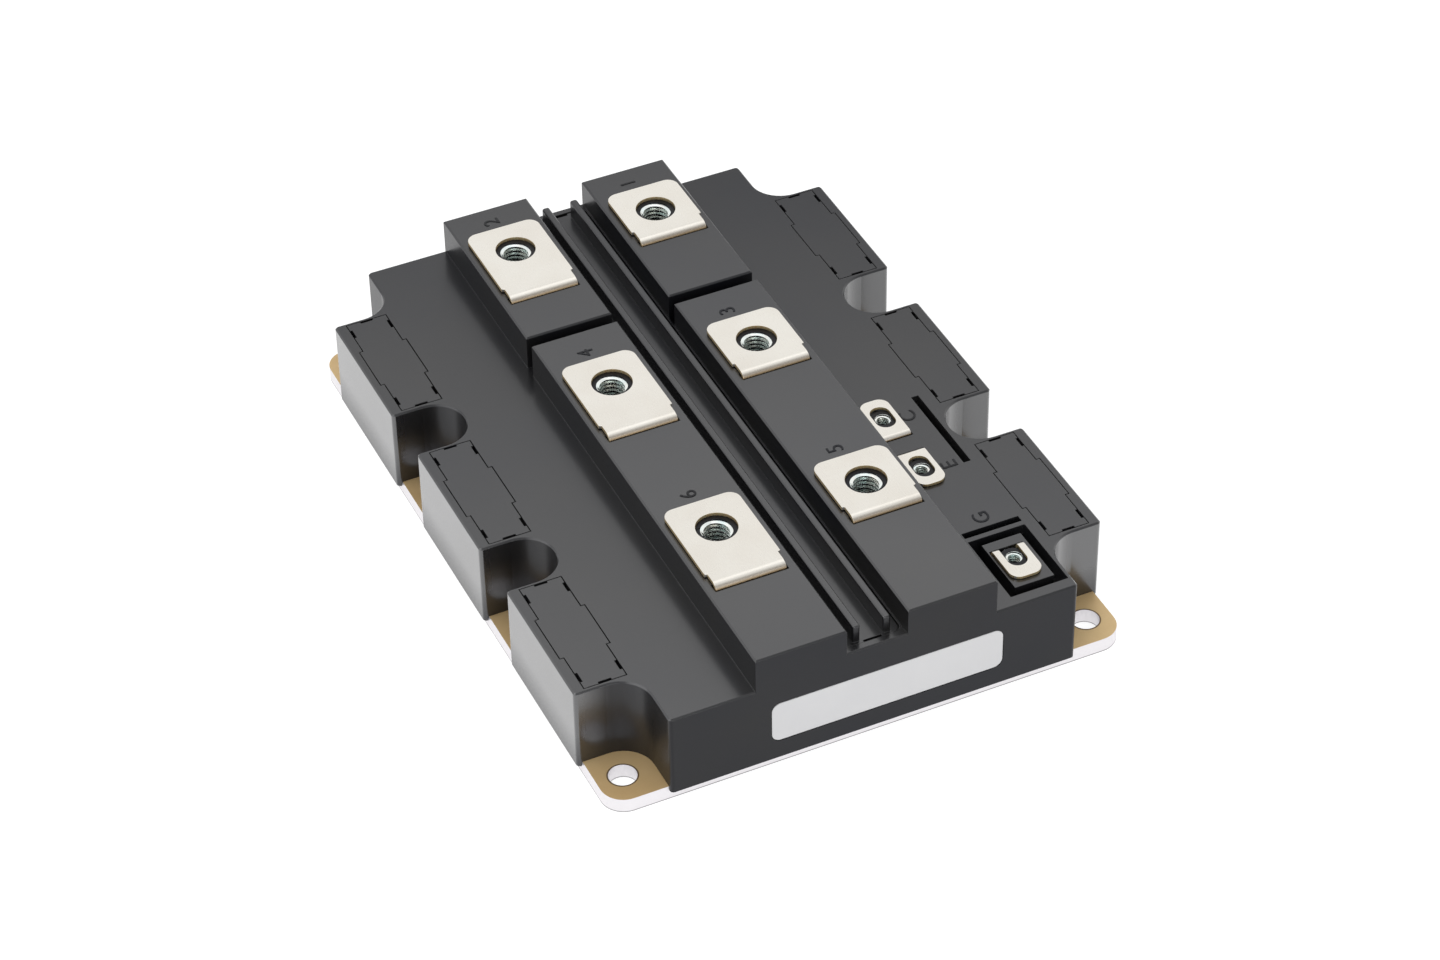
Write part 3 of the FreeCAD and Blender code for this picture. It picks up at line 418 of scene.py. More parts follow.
@dataclass(frozen=True)
class BasePlateFinish:
    """Nickel-plated plate: silver flanks and bores, a golden brown upper face, a dark ring round each hole and a
    painted contact shadow along the foot of the flanks.
    """

    name: str = "base_plate_finish"
    silver: Colour = (0.79, 0.77, 0.79)
    # foot is the colour of a painted contact shadow along the bottom of the flanks
    foot: Colour = (0.34, 0.33, 0.34)
    contact_shadow_height: float = 0.35 * MM
    contact_shadow_start: float = 0.7
    gold: Colour = (0.74, 0.54, 0.28)
    brown: Colour = (0.64, 0.44, 0.21)
    ring: Colour = (0.13, 0.08, 0.04)
    ring_width: float = 0.45 * MM
    ring_start: float = 0.6
    level_span: Span = (0.85, 0.95)
    rough: Span = (0.38, 0.52)
    metal: Span = (0.9, 0.35)
    cloud: float = 60.0
    wear: float = 1800.0
    grain: float = 1500.0
    grain_share: float = 0.15
    grain_depth: float = 0.02 * MM
    hole: Span = (28.5 * MM, 62.0 * MM)
    hole_pitch: float = 57.0 * MM
    hole_radius: float = 3.5 * MM

    def ring_share(self, graph: Graph, place: Sockets) -> Socket:
        """Where the dark ring round each fixing hole lies.

        Args:
            graph: The material's nodes.
            place: The place on the piece, split.

        Returns:
            The socket that is 1 on a ring.
        """
        along = graph.reckon("SUBTRACT", graph.reckon("ABSOLUTE", place["X"]), self.hole_pitch)
        along = graph.reckon("SUBTRACT", graph.reckon("ABSOLUTE", along), self.hole[0])
        across = graph.reckon("SUBTRACT", graph.reckon("ABSOLUTE", place["Y"]), self.hole[1])
        squares = graph.reckon("ADD", graph.reckon("MULTIPLY", along, along),
                               graph.reckon("MULTIPLY", across, across))
        inner = self.hole_radius + self.ring_start * self.ring_width
        return graph.spread(graph.reckon("SQRT", squares), 1.0, 0.0, inner, self.hole_radius + self.ring_width)

    def material(self) -> bpy.types.Material:
        """Builds the finish.

        Returns:
            The material.
        """
        graph = Graph(self.name)
        place = graph.split(graph.place)
        top = graph.blend(graph.spread(graph.noise(self.cloud, FINE), 0.0, 1.0), self.gold, self.brown)
        top = graph.blend(self.ring_share(graph, place), top, self.ring)
        upward = graph.spread(graph.facing()["Z"], 0.0, 1.0, *self.level_span)
        # Painted contact shadow: the flanks darken to the foot colour at their bottom edge
        foot = graph.spread(place["Z"], 1.0, 0.0, self.contact_shadow_start * self.contact_shadow_height, self.contact_shadow_height)
        flank_with_shadow = graph.blend(foot, self.silver, self.foot)
        graph.colour(graph.blend(upward, flank_with_shadow, top))
        graph.roughness(graph.spread(graph.noise(self.wear, RICH), *self.rough))
        graph.bump(graph.noise(self.grain, RICH), self.grain_share, self.grain_depth)
        graph.join(graph.spread(upward, *self.metal, 0.0, 1.0), graph.shader.inputs["Metallic"])
        return graph.material


@dataclass(frozen=True)
class LabelFilm:
    """Bare printed-label film: pale grey, smooth, with a barely uneven surface."""

    name: str = "label_film"
    pale: Colour = (0.86, 0.86, 0.87)
    grey: Colour = (0.83, 0.83, 0.845)
    rough: Span = (0.35, 0.5)
    cloud: float = 70.0
    wear: float = 500.0
    grain: float = 900.0
    grain_share: float = 0.05
    grain_depth: float = 0.01 * MM

    def material(self) -> bpy.types.Material:
        """Builds the finish.

        Returns:
            The material.
        """
        graph = Graph(self.name)
        graph.colour(graph.blend(graph.spread(graph.noise(self.cloud, RICH), 0.0, 1.0), self.pale, self.grey))
        graph.roughness(graph.spread(graph.noise(self.wear, SOFT), *self.rough))
        graph.bump(graph.noise(self.grain, SOFT), self.grain_share, self.grain_depth)
        return graph.material


@dataclass(frozen=True)
class CircuitFinish:
    """Finish of a piece of the hidden circuit: ceramic or silicon."""

    name: str
    pale: Colour
    deep: Colour
    rough: float
    rough_range: float = 0.1
    cloud: float = 300.0
    wear: float = 900.0

    def material(self) -> bpy.types.Material:
        """Builds the finish.

        Returns:
            The material.
        """
        graph = Graph(self.name)
        graph.colour(graph.blend(graph.spread(graph.noise(self.cloud, RICH), 0.0, 1.0), self.pale, self.deep))
        graph.roughness(graph.spread(graph.noise(self.wear, SOFT), self.rough, self.rough + self.rough_range))
        return graph.material


class Bench:
    """The modelling operators that the pieces share."""

    @staticmethod
    def clear() -> None:
        """Leaves edit mode and deselects everything."""
        if bpy.context.object and bpy.context.object.mode != "OBJECT":
            bpy.ops.object.mode_set(mode="OBJECT")
        bpy.ops.object.select_all(action="DESELECT")

    @staticmethod
    def take(piece: bpy.types.Object) -> None:
        """Selects one piece alone and makes it active."""
        Bench.clear()
        piece.select_set(True)
        bpy.context.view_layer.objects.active = piece

    @staticmethod
    def pick(piece: bpy.types.Object, kind: str, wanted: Callable[[Vector], bool]) -> None:
        """Selects elements in edit mode by the place of their middles.

        Args:
            piece: The piece in hand.
            kind: VERT, EDGE or FACE.
            wanted: Test of an element's middle.
        """
        bpy.ops.object.mode_set(mode="EDIT")
        bpy.ops.mesh.select_mode(type=kind)
        bpy.ops.mesh.select_all(action="DESELECT")
        bpy.ops.object.mode_set(mode="OBJECT")
        mesh = piece.data
        if kind == "VERT":
            for vertex in mesh.vertices:
                vertex.select = wanted(vertex.co)
        elif kind == "EDGE":
            for edge in mesh.edges:
                ends = [mesh.vertices[index].co for index in edge.vertices]
                edge.select = wanted((ends[0] + ends[1]) / 2)
        else:
            for face in mesh.polygons:
                face.select = wanted(face.center)
        bpy.ops.object.mode_set(mode="EDIT")

    @staticmethod
    def settle(piece: bpy.types.Object) -> None:
        """Puts a piece's place into its mesh, so that its object sits at the origin."""
        Bench.take(piece)
        bpy.ops.object.transform_apply(location=True, rotation=True, scale=True)

    @staticmethod
    def apply(piece: bpy.types.Object, kind: str, **settings: object) -> None:
        """Adds a modifier and applies it.

        Args:
            piece: The piece.
            kind: The modifier's type.
            settings: Its properties.
        """
        Bench.take(piece)
        modifier = piece.modifiers.new(kind.lower(), kind)
        for name, setting in settings.items():
            setattr(modifier, name, setting)
        bpy.ops.object.modifier_apply(modifier=modifier.name)

    @staticmethod
    def cut(piece: bpy.types.Object, tool: bpy.types.Object, operation: str = "DIFFERENCE") -> None:
        """Cuts a piece with a tool, which is then thrown away.

        Args:
            piece: The piece.
            tool: The cutting shape.
            operation: The boolean's operation.
        """
        Bench.settle(tool)
        Bench.apply(piece, "BOOLEAN", object=tool, operation=operation, solver="EXACT")
        bpy.data.objects.remove(tool)

    @staticmethod
    def ease(piece: bpy.types.Object, width: float, segments: int = 2, angle: float = SHARP) -> None:
        """Rounds a piece's sharp edges a little and smooths its shading.

        Args:
            piece: The piece.
            width: Width of the rounding.
            segments: Its steps.
            angle: Edges sharper than this many degrees are rounded.
        """
        Bench.apply(piece, "BEVEL", width=width, segments=segments, limit_method="ANGLE",
                    angle_limit=math.radians(angle), use_clamp_overlap=True)
        Bench.take(piece)
        bpy.ops.object.shade_smooth_by_angle(angle=math.radians(angle))
        Bench.apply(piece, "WEIGHTED_NORMAL", keep_sharp=True)

    @staticmethod
    def outward(piece: bpy.types.Object) -> None:
        """Merges doubles and turns a closed piece's faces outwards."""
        Bench.take(piece)
        bpy.ops.object.mode_set(mode="EDIT")
        bpy.ops.mesh.select_all(action="SELECT")
        bpy.ops.mesh.remove_doubles(threshold=0.1 * HAIR)
        bpy.ops.mesh.normals_make_consistent(inside=False)
        bpy.ops.object.mode_set(mode="OBJECT")

    @staticmethod
    def dress(piece: bpy.types.Object, *finishes: bpy.types.Material) -> None:
        """Gives a piece its materials in order."""
        piece.data.materials.clear()
        for finish in finishes:
            piece.data.materials.append(finish)

    @staticmethod
    def mount(piece: bpy.types.Object, name: str, slot: str, *nodes: str) -> None:
        """Names a finished piece, fixes it to the module and hides the solids that it replaces.

        Args:
            piece: The piece.
            name: Its name.
            slot: Not used.
            nodes: Solids that it replaces.
        """
        piece.name = name
        piece.data.name = name
        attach(piece, "root")
        if nodes:
            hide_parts(*nodes)
        LOG.info("%s: %d faces", name, len(piece.data.polygons))


@dataclass
class Finishes:
    """Every material of the module, made once."""

    plastic: bpy.types.Material = field(default_factory=lambda: MouldedPlastic().material())
    # marks serves the raised marks and, as painted shade, the nuts' rims and thread roots
    marks: bpy.types.Material = field(
        default_factory=lambda: MouldedPlastic("matt_mark_and_shade", top_skin=(0.0, 0.0), wall_skin=0.0).material())
    nickel: bpy.types.Material = field(
        default_factory=lambda: SatinNickel("satin_nickel", tint_start=36.65 * MM, tint_end=35.8 * MM).material())
    small_nickel: bpy.types.Material = field(default_factory=lambda: SatinNickel(
        "satin_nickel_small", tint_start=26.5 * MM, tint_end=26.2 * MM).material())
    edge: bpy.types.Material = field(default_factory=lambda: ShearedEdge().material())
    steel: bpy.types.Material = field(default_factory=lambda: PlatedSteel().material())
    film: bpy.types.Material = field(default_factory=lambda: LabelFilm().material())
    ceramic: bpy.types.Material = field(default_factory=lambda: CircuitFinish(
        "ceramic", pale=(0.80, 0.79, 0.74), deep=(0.72, 0.66, 0.56), rough=0.4).material())
    silicon: bpy.types.Material = field(default_factory=lambda: CircuitFinish(
        "silicon", pale=(0.26, 0.28, 0.33), deep=(0.18, 0.19, 0.24), rough=0.15).material())


@dataclass
class Terminal:
    """A screw terminal folded from sheet: plate with a hole or slot, shoulder, bend, leg and foot."""

    node: str
    nut: str
    side: int = 1
    thick: float = 1.0 * MM
    bend: float = 1.4 * MM
    corner: float = 3.0 * MM
    foot: float = 8.0 * MM
    shoulder: float = 5.3 * MM
    step: float = 0.7 * MM
    hole: float = 5.2 * MM
    slot: float = 0.0
    opened: float = 0.0
    small: bool = False
    step_run: float = 0.2 * MM
    ease: float = 0.14 * MM
    bend_steps: int = 8
    corner_steps: int = 7
    hole_sides: int = 64
    hole_margin: float = 0.02 * MM
    side_limit: float = 0.75
    hole_limit: float = 0.5

    def __post_init__(self) -> None:
        """Reads the solid's place: its middle over the nut and its reach to both ends."""
        low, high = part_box(self.node)
        nut_low, nut_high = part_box(self.nut)
        self.middle = (nut_low + nut_high) / 2
        self.half = (high.y - low.y) / 2
        self.top, self.bottom = high.z, low.z
        near, far = (high.x, low.x) if self.side > 0 else (low.x, high.x)
        self.near = abs(near - self.middle.x)
        self.far = abs(far - self.middle.x)

    def sheet(self) -> bpy.types.Object:
        """Folds the sheet's upper surface, seen with its leg towards +X.

        Returns:
            The folded surface about the middle of its hole.
        """
        plate_end = self.near - max(self.shoulder, self.bend + self.thick)
        Bench.clear()
        bpy.ops.mesh.primitive_plane_add(size=1.0, location=((plate_end - self.far) / 2, 0.0, 0.0))
        piece = bpy.context.object
        piece.scale = (plate_end + self.far, 2 * self.half, 1.0)
        Bench.settle(piece)
        Bench.pick(piece, "VERT", lambda place: place.x < 0)
        bpy.ops.mesh.bevel(offset=self.corner, segments=self.corner_steps, affect="VERTICES")
        turn = self.bend + self.thick
        Bench.pick(piece, "EDGE", lambda place: abs(place.x - plate_end) < HAIR)
        if self.step:
            bpy.ops.mesh.extrude_region_move(TRANSFORM_OT_translate={"value": (self.step_run, 0.0, 0.0)})
            bpy.ops.transform.resize(value=(1.0, (self.half - self.step) / self.half, 1.0))
            plate_end += self.step_run
        run = self.near - turn - plate_end
        if run > HAIR:
            bpy.ops.mesh.extrude_region_move(TRANSFORM_OT_translate={"value": (run, 0.0, 0.0)})
        bpy.ops.mesh.spin(steps=self.bend_steps, angle=-math.pi / 2, axis=(0.0, 1.0, 0.0),
                          center=(self.near - turn, 0.0, -turn))
        drop = self.top - self.bottom - 2 * turn
        bpy.ops.mesh.extrude_region_move(TRANSFORM_OT_translate={"value": (0.0, 0.0, -drop)})
        bpy.ops.mesh.spin(steps=self.bend_steps, angle=-math.pi / 2, axis=(0.0, 1.0, 0.0),
                          center=(self.near - turn, 0.0, -turn - drop))
        bpy.ops.mesh.extrude_region_move(TRANSFORM_OT_translate={"value": (turn - self.foot, 0.0, 0.0)})
        bpy.ops.object.mode_set(mode="OBJECT")
        return piece

    def punch(self, length: float, height: float, shift: float = 0.0) -> bpy.types.Object:
        """A round or oblong cutting shape about the hole.

        Args:
            length: Distance between the middles of its round ends.
            height: Its height, centred on the plate's top.
            shift: Extra reach of its leg-side end.

        Returns:
            The cutting shape.
        """
        Bench.clear()
        bpy.ops.mesh.primitive_cylinder_add(vertices=self.hole_sides, radius=self.hole, depth=height)
        tool = bpy.context.object
        if length + shift > 0:
            Bench.pick(tool, "VERT", lambda place: place.x > 0.1 * HAIR)
            bpy.ops.transform.translate(value=(length / 2 + shift, 0.0, 0.0))
            Bench.pick(tool, "VERT", lambda place: place.x < 0.1 * HAIR)
            bpy.ops.transform.translate(value=(-length / 2, 0.0, 0.0))
            bpy.ops.object.mode_set(mode="OBJECT")
        return tool

    def is_cut(self, middle: Vector, normal: Vector) -> bool:
        """True for a face on a sheared edge or in the hole."""
        at_end = normal.x < -self.side_limit and middle.x < self.corner - self.far
        if abs(normal.y) > self.side_limit or at_end:
            return True
        reach = math.hypot(max(abs(middle.x) - self.slot / 2, 0.0), middle.y)
        in_hole = reach < self.hole + self.hole_margin
        return in_hole and abs(normal.z) < self.hole_limit and middle.z > -2 * self.thick

    def build(self, finishes: Finishes) -> bpy.types.Object:
        """Makes the finished terminal in its place.

        Args:
            finishes: The module's materials.

        Returns:
            The terminal.
        """
        piece = self.sheet()
        Bench.outward(piece)
        Bench.apply(piece, "SOLIDIFY", thickness=self.thick, offset=self.solid_side(piece), use_even_offset=True)
        Bench.outward(piece)
        Bench.cut(piece, self.punch(self.slot, 6 * self.thick))
        if self.opened:
            Bench.cut(piece, self.punch(self.slot, 2 * self.opened, self.near))
        Bench.ease(piece, self.ease)
        Bench.dress(piece, finishes.small_nickel if self.small else finishes.nickel, finishes.edge)
        for face in piece.data.polygons:
            face.material_index = 1 if self.is_cut(face.center, face.normal) else 0
        Bench.take(piece)
        if self.side < 0:
            piece.rotation_euler = (0.0, 0.0, math.pi)
        piece.location = (self.middle.x, self.middle.y, self.top)
        Bench.settle(piece)
        Bench.mount(piece, f"{self.node}_folded", "terminal_nickel", self.node)
        return piece

    @staticmethod
    def solid_side(piece: bpy.types.Object) -> float:
        """Which way the sheet gets its thickness, so that it grows under the plate.

        Returns:
            The solidify offset.
        """
        upper = max(piece.data.polygons, key=lambda face: face.center.z)
        return -1.0 if upper.normal.z > 0 else 1.0


@dataclass
class ThreadedNut:
    """A captive hexagon nut with chamfered corners, a cut thread and painted shade on its rim and thread root."""

    node: str
    pitch: float
    major: float
    minor: float
    lead: float
    steps: int = 48
    sides: int = 96
    base_share: float = 0.64
    crest_share: float = 0.28
    corner_share: float = 0.97
    over: float = 0.1 * MM
    ease: float = 0.06 * MM
    dome_sides: int = 48
    bore_reach: float = 1.2
    mouth_share: float = 0.49
    rim_limit: float = 0.9
    root_limit: float = 0.1

    def ridge(self, turns: int) -> bpy.types.Object:
        """One helical ridge of the thread, from the root to the crest.

        Args:
            turns: Whole turns.

        Returns:
            The closed ridge about the nut's middle.
        """
        Bench.clear()
        bpy.ops.mesh.primitive_plane_add(size=1.0, rotation=(math.pi / 2, 0.0, 0.0),
                                         location=((self.major + self.minor) / 2, 0.0, 0.0))
        ridge = bpy.context.object
        ridge.scale = (self.major - self.minor + self.over, self.base_share * self.pitch, 1.0)
        Bench.settle(ridge)
        Bench.pick(ridge, "VERT", lambda place: place.x < (self.major + self.minor) / 2)
        bpy.ops.transform.resize(value=(1.0, 1.0, self.crest_share))
        bpy.ops.mesh.select_all(action="SELECT")
        bpy.ops.mesh.delete(type="ONLY_FACE")
        bpy.ops.object.mode_set(mode="OBJECT")
        Bench.apply(ridge, "SCREW", axis="Z", angle=math.tau, screw_offset=self.pitch, iterations=turns,
                    steps=self.steps, render_steps=self.steps, use_merge_vertices=False)
        Bench.take(ridge)
        bpy.ops.object.mode_set(mode="EDIT")
        bpy.ops.mesh.select_all(action="SELECT")
        bpy.ops.mesh.fill_holes(sides=4)
        bpy.ops.object.mode_set(mode="OBJECT")
        Bench.outward(ridge)
        ridge.location = (0.0, 0.0, -self.pitch * turns / 2)
        Bench.settle(ridge)
        return ridge

    def body(self, flats: float, height: float) -> bpy.types.Object:
        """The nut's hexagon with chamfered corners and a countersunk bore at the thread's root.

        Args:
            flats: Width across flats.
            height: Its height.

        Returns:
            The body about its middle.
        """
        Bench.clear()
        corner = flats / 2 / math.cos(math.pi / 6)
        bpy.ops.mesh.primitive_cylinder_add(vertices=6, radius=corner, depth=height, rotation=(0.0, 0.0, math.pi / 2))
        piece = bpy.context.object
        Bench.settle(piece)
        bpy.ops.mesh.primitive_cylinder_add(vertices=self.dome_sides, radius=corner, depth=height)
        dome = bpy.context.object
        Bench.pick(dome, "FACE", lambda place: abs(place.z) > self.mouth_share * height)
        bpy.ops.mesh.bevel(offset=corner - self.corner_share * flats / 2, segments=1, affect="EDGES")
        bpy.ops.object.mode_set(mode="OBJECT")
        Bench.cut(piece, dome, "INTERSECT")
        Bench.clear()
        bpy.ops.mesh.primitive_cylinder_add(vertices=self.sides, radius=self.major, depth=height * self.bore_reach)
        Bench.cut(piece, bpy.context.object)
        self.countersink(piece, height)
        Bench.ease(piece, self.ease, 1)
        return piece

    def countersink(self, piece: bpy.types.Object, height: float) -> None:
        """Cuts the lead-in at both mouths.

        Args:
            piece: The nut's body or its ridge.
            height: The nut's height.
        """
        depth = self.lead - self.minor + self.over
        for end in (1, -1):
            Bench.clear()
            bpy.ops.mesh.primitive_cone_add(vertices=self.sides, radius1=self.lead + self.over, radius2=self.minor,
                                            depth=depth, rotation=(math.pi if end > 0 else 0.0, 0.0, 0.0),
                                            location=(0.0, 0.0, end * (height / 2 + self.over - depth / 2)))
            Bench.cut(piece, bpy.context.object)

    def is_shaded(self, away: Vector, normal: Vector, height: float) -> bool:
        """True for the rim under the terminal and for the thread's root, which get the dark matt finish as painted
        shade.
        """
        rim = normal.z > self.rim_limit and away.z > height / 2 - 5 * HAIR
        root = abs(math.hypot(away.x, away.y) - self.major) < 4 * HAIR
        return rim or (root and abs(normal.z) < self.root_limit)

    def build(self, finishes: Finishes) -> bpy.types.Object:
        """Makes the nut in its place.

        Args:
            finishes: The module's materials.

        Returns:
            The nut.
        """
        low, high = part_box(self.node)
        height = high.z - low.z
        piece = self.body(high.y - low.y, height)
        ridge = self.ridge(int(height / self.pitch))
        self.countersink(ridge, height)
        Bench.take(piece)
        ridge.select_set(True)
        bpy.ops.object.join()
        bpy.ops.object.shade_smooth_by_angle(angle=math.radians(SHARP))
        piece.location = (low + high) / 2
        Bench.settle(piece)
        Bench.dress(piece, finishes.steel, finishes.marks)
        # Painted shade: the rim under the terminal and the thread's root take the dark matt plastic
        for face in piece.data.polygons:
            away = face.center - (low + high) / 2
            face.material_index = 1 if self.is_shaded(away, face.normal, height) else 0
        Bench.mount(piece, f"{self.node}_threaded", "steel_nut", self.node)
        return piece


class Mark(Enum):
    """What the raised marks say, whose nut each one stands beside and how far from its middle."""

    ONE = ("1", "main_nut_1", -15.0 * MM, -1.0 * MM)
    TWO = ("2", "main_nut_2", -15.1 * MM, -0.3 * MM)
    THREE = ("3", "main_nut_3", -15.0 * MM, -1.0 * MM)
    FOUR = ("4", "main_nut_4", -15.1 * MM, -0.3 * MM)
    FIVE = ("5", "main_nut_5", -15.0 * MM, -0.8 * MM)
    SIX = ("6", "main_nut_6", -15.1 * MM, -0.3 * MM)
    COLLECTOR = ("C", "collector_sense_nut", 1.4 * MM, 6.6 * MM)
    EMITTER = ("E", "emitter_sense_nut", 1.5 * MM, 7.1 * MM)
    GATE = ("G", "gate_nut", -16.6 * MM, 0.1 * MM)


@dataclass
class RaisedMarks:
    """Plain raised numbers and letters beside the terminals, which read from the far side."""

    height: float = 4.2 * MM
    relief: float = 0.12 * MM
    font_share: float = 0.7
    curve_steps: int = 6

    def build(self, finishes: Finishes, high_top: float, low_top: float) -> None:
        """Makes every mark.

        Args:
            finishes: The module's materials.
            high_top: Height of the blocks that carry the numbers.
            low_top: Height of the deck that carries the letters.
        """
        for mark in Mark:
            sign, nut, along, across = mark.value
            low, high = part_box(nut)
            top = high_top if sign.isdigit() else low_top
            place = Vector(((low.x + high.x) / 2 + along, (low.y + high.y) / 2 + across, top))
            self.raise_mark(sign, place, finishes)

    def raise_mark(self, sign: str, place: Vector, finishes: Finishes) -> None:
        """Makes one mark.

        Args:
            sign: What it says.
            place: Middle of its foot.
            finishes: The module's materials.
        """
        Bench.clear()
        bpy.ops.object.text_add(location=place, rotation=(0.0, 0.0, math.pi))
        text = bpy.context.object
        text.data.body = sign
        text.data.align_x = "CENTER"
        text.data.align_y = "CENTER"
        text.data.size = self.height / self.font_share
        text.data.extrude = self.relief
        text.data.resolution_u = self.curve_steps
        bpy.ops.object.convert(target="MESH")
        piece = bpy.context.object
        Bench.settle(piece)
        Bench.dress(piece, finishes.marks)
        Bench.mount(piece, f"mark_{sign}", "housing_plastic")


class Lamp(Enum):
    """The soft square lamps: place, side in metres and power in watts."""

    KEY = ((0.1, -0.75, 1.05), 1.2, 4.0)
    FRONT = ((1.2, -0.1, 0.45), 0.8, 4.0)
    SHEEN = ((-0.28, 0.32, 1.15), 0.6, 0.45)


@dataclass
class Studio:
    """White table, camera and soft lamps."""

    eye: Point = (726.276 * MM, -327.654 * MM, 679.389 * MM)
    bearing: float = 155.487
    tilt: float = 40.170
    roll: float = -1.065
    focal: float = 4108.393
    width_px: float = 1440.0
    sensor: float = 36.0
    clip: Span = (0.01, 20.0)
    table_size: float = 6.0
    table_grey: Colour = (0.36, 0.36, 0.36)
    table_glow: float = 0.92
    table_seen: float = 0.9
    ambient: float = 0.70
    far_sky: Span = (0.615, 0.70)
    far_light: Span = (1.0, 0.84)
    front_sky: Span = (0.25, 0.65)
    front_light: Span = (1.0, 0.4)

    def camera(self) -> None:
        """Puts the camera at the photograph's viewpoint."""
        bearing, tilt, roll = (math.radians(angle) for angle in (self.bearing, self.tilt, self.roll))
        ahead = Vector((math.cos(tilt) * math.cos(bearing), math.cos(tilt) * math.sin(bearing), -math.sin(tilt)))
        right = ahead.cross(Vector((0.0, 0.0, 1.0))).normalized()
        up = right.cross(ahead)
        turned_right = right * math.cos(roll) + up * math.sin(roll)
        turned_up = up * math.cos(roll) - right * math.sin(roll)
        data = bpy.data.cameras.new("camera")
        data.sensor_width = self.sensor
        data.lens = self.focal / self.width_px * self.sensor
        data.clip_start, data.clip_end = self.clip
        camera = bpy.data.objects.new("camera", data)
        bpy.context.scene.collection.objects.link(camera)
        turn = Matrix((turned_right, turned_up, -ahead)).transposed().to_4x4()
        camera.matrix_world = Matrix.Translation(self.eye) @ turn
        bpy.context.scene.camera = camera

    def table(self) -> None:
        """Lays the white table, which keeps the module's shadow."""
        Bench.clear()
        bpy.ops.mesh.primitive_plane_add(size=self.table_size)
        floor = bpy.context.object
        floor.name = "table"
        graph = Graph("table_white")
        paths = graph.add("ShaderNodeLightPath").outputs
        mirrored = graph.reckon("MAXIMUM", paths["Is Glossy Ray"], paths["Is Transmission Ray"])
        seen = graph.reckon("MAXIMUM", mirrored, graph.reckon("MULTIPLY", paths["Is Camera Ray"], self.table_seen))
        graph.level("Base Color", (*self.table_grey, 1.0))
        graph.level("Roughness", 1.0)
        graph.level("Specular IOR Level", 0.0)
        graph.level("Emission Color", WHITE)
        graph.join(graph.reckon("MULTIPLY", seen, self.table_glow), graph.shader.inputs["Emission Strength"])
        Bench.dress(floor, graph.material)

    def room(self) -> None:
        """Lights the room evenly: white where seen, a little darker high up and in front where mirrored."""
        world = bpy.data.worlds.new("room")
        bpy.context.scene.world = world
        world.use_nodes = True
        wiring = Wiring(world.node_tree)
        shade = wiring.tree.nodes["Background"]
        paths = wiring.add("ShaderNodeLightPath").outputs
        direction = wiring.split(wiring.add("ShaderNodeTexCoord").outputs["Generated"])
        height = wiring.spread(direction["Z"], *self.far_light, *self.far_sky)
        ahead = wiring.spread(direction["X"], *self.front_light, *self.front_sky)
        mirrored = wiring.reckon("MULTIPLY", paths["Is Glossy Ray"], wiring.reckon("MULTIPLY", height, ahead))
        seen = wiring.reckon("MAXIMUM", paths["Is Camera Ray"], paths["Is Transmission Ray"])
        direct = wiring.reckon("MAXIMUM", seen, paths["Is Glossy Ray"])
        diffuse = wiring.spread(direct, self.ambient, 0.0, 0.0, 1.0)
        strength = wiring.reckon("ADD", wiring.reckon("MAXIMUM", seen, mirrored), diffuse)
        wiring.join(strength, shade.inputs["Strength"])
        shade.inputs["Color"].default_value = WHITE

    def lamp(self, kind: Lamp) -> None:
        """Hangs one lamp, aimed at the module.

        Args:
            kind: Which of the lamps.
        """
        place, size, power = kind.value
        data = bpy.data.lights.new(kind.name.lower(), "AREA")
        data.shape = "SQUARE"
        data.size = size
        data.energy = power
        lamp = bpy.data.objects.new(data.name, data)
        bpy.context.scene.collection.objects.link(lamp)
        lamp.location = place
        lamp.rotation_euler = (-Vector(place)).to_track_quat("-Z", "Y").to_euler()

    def build(self) -> None:
        """Sets everything up."""
        self.camera()
        self.table()
        self.room()
        for kind in Lamp:
            self.lamp(kind)
        bpy.context.scene.view_settings.view_transform = "Standard"


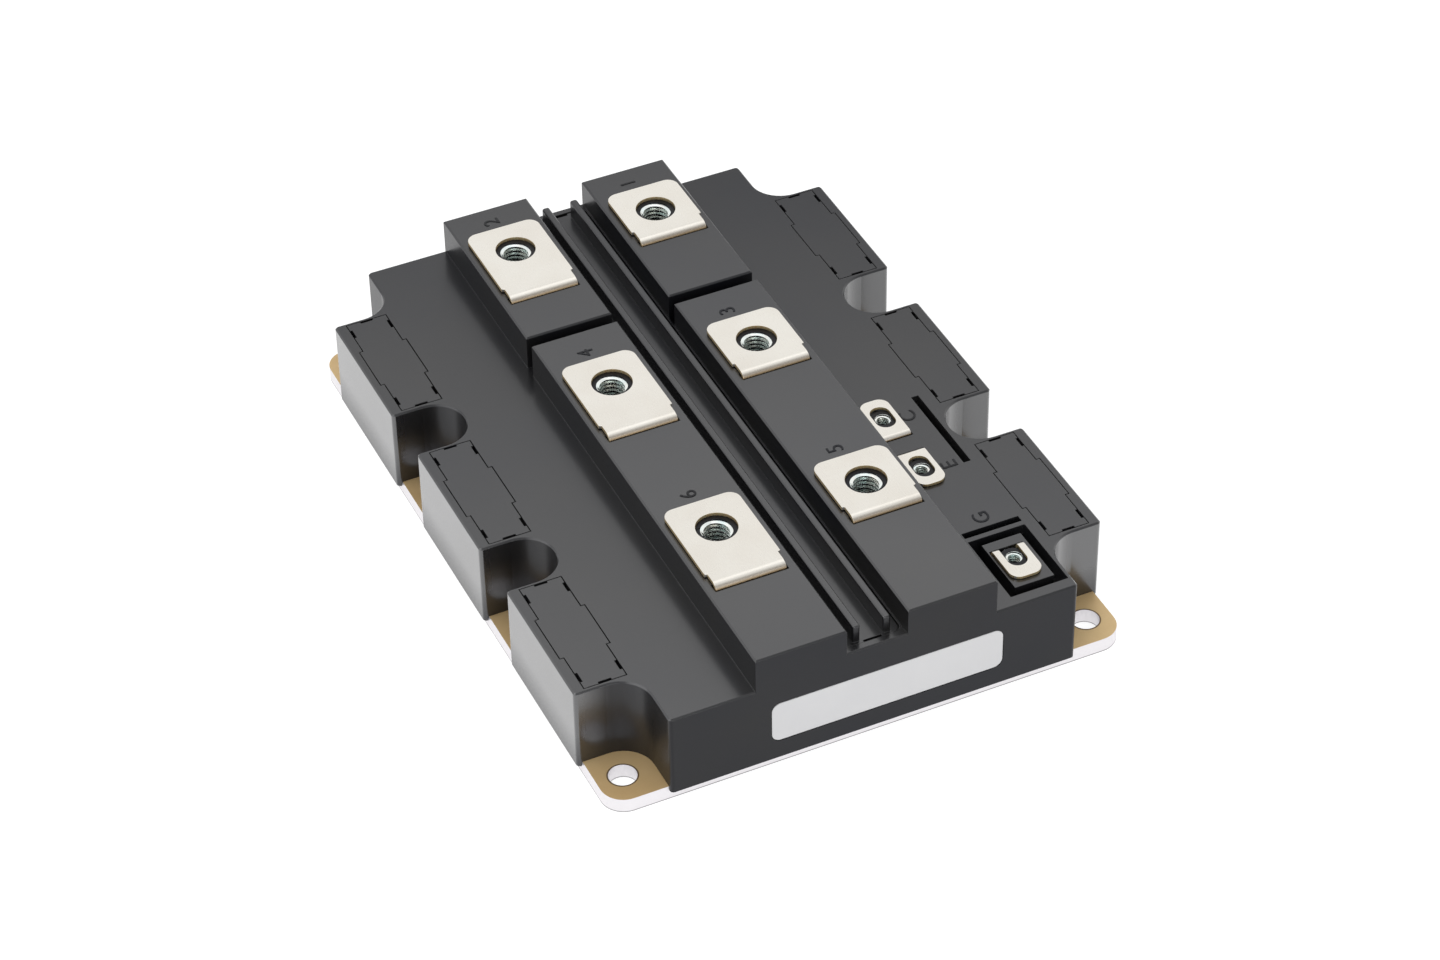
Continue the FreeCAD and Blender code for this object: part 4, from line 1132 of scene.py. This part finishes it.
@dataclass
class PowerModule:
    """The whole module: dressed solids and the pieces made here."""

    finishes: Finishes = field(default_factory=Finishes)
    block_top: float = 35.75 * MM
    deck_top: float = 26.1 * MM
    main_terminals: int = 6
    aux_hole: float = 2.6 * MM
    gate_hole: float = 2.5 * MM
    gate_opening: float = 7.4 * MM

    def dress_solids(self) -> None:
        """Gives every solid that stays its finish."""
        plate = BasePlateFinish().material()
        by_start = {
            "base_plate": plate, "housing": self.finishes.plastic, "side_cover": self.finishes.plastic,
            "channel_cover": self.finishes.plastic, "main_terminal": self.finishes.nickel,
            "main_nut": self.finishes.steel, "collector": self.finishes.nickel, "emitter": self.finishes.nickel,
            "gate": self.finishes.nickel, "substrate": self.finishes.ceramic, "igbt": self.finishes.silicon,
            "diode": self.finishes.silicon, "label": self.finishes.film,
        }
        for name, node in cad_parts.items():
            finish = next(finish for start, finish in by_start.items() if name.startswith(start))
            Bench.dress(node, finish)

    def build(self) -> None:
        """Builds the module's pieces in order."""
        self.dress_solids()
        main = {"pitch": 1.25 * MM, "major": 4.0 * MM, "minor": 3.32 * MM, "lead": 3.95 * MM}
        for number in range(1, self.main_terminals + 1):
            Terminal(f"main_terminal_{number}", f"main_nut_{number}").build(self.finishes)
            ThreadedNut(f"main_nut_{number}", **main).build(self.finishes)
        small = {"thick": 0.8 * MM, "bend": 0.6 * MM, "corner": 2.8 * MM, "step": 0.0, "shoulder": 0.0,
                 "slot": 3.0 * MM, "small": True}
        for name, side, hole, opened in (("collector_sense", 1, self.aux_hole, 0.0),
                                         ("emitter_sense", -1, self.aux_hole, 0.0),
                                         ("gate", -1, self.gate_hole, self.gate_opening)):
            terminal = Terminal(f"{name}_terminal", f"{name}_nut", side, hole=hole, opened=opened, **small)
            terminal.build(self.finishes)
        aux = {"pitch": 0.7 * MM, "major": 2.0 * MM, "minor": 1.62 * MM, "lead": 2.05 * MM}
        for name in ("collector_sense", "emitter_sense", "gate"):
            ThreadedNut(f"{name}_nut", **aux).build(self.finishes)
        RaisedMarks().build(self.finishes, self.block_top, self.deck_top)


def main() -> None:
    """Builds the module and its studio."""
    logging.basicConfig(level=logging.INFO, format="%(name)s %(message)s")
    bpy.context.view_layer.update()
    PowerModule().build()
    Studio().build()
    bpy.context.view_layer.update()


if __name__ == "__main__":
    main()
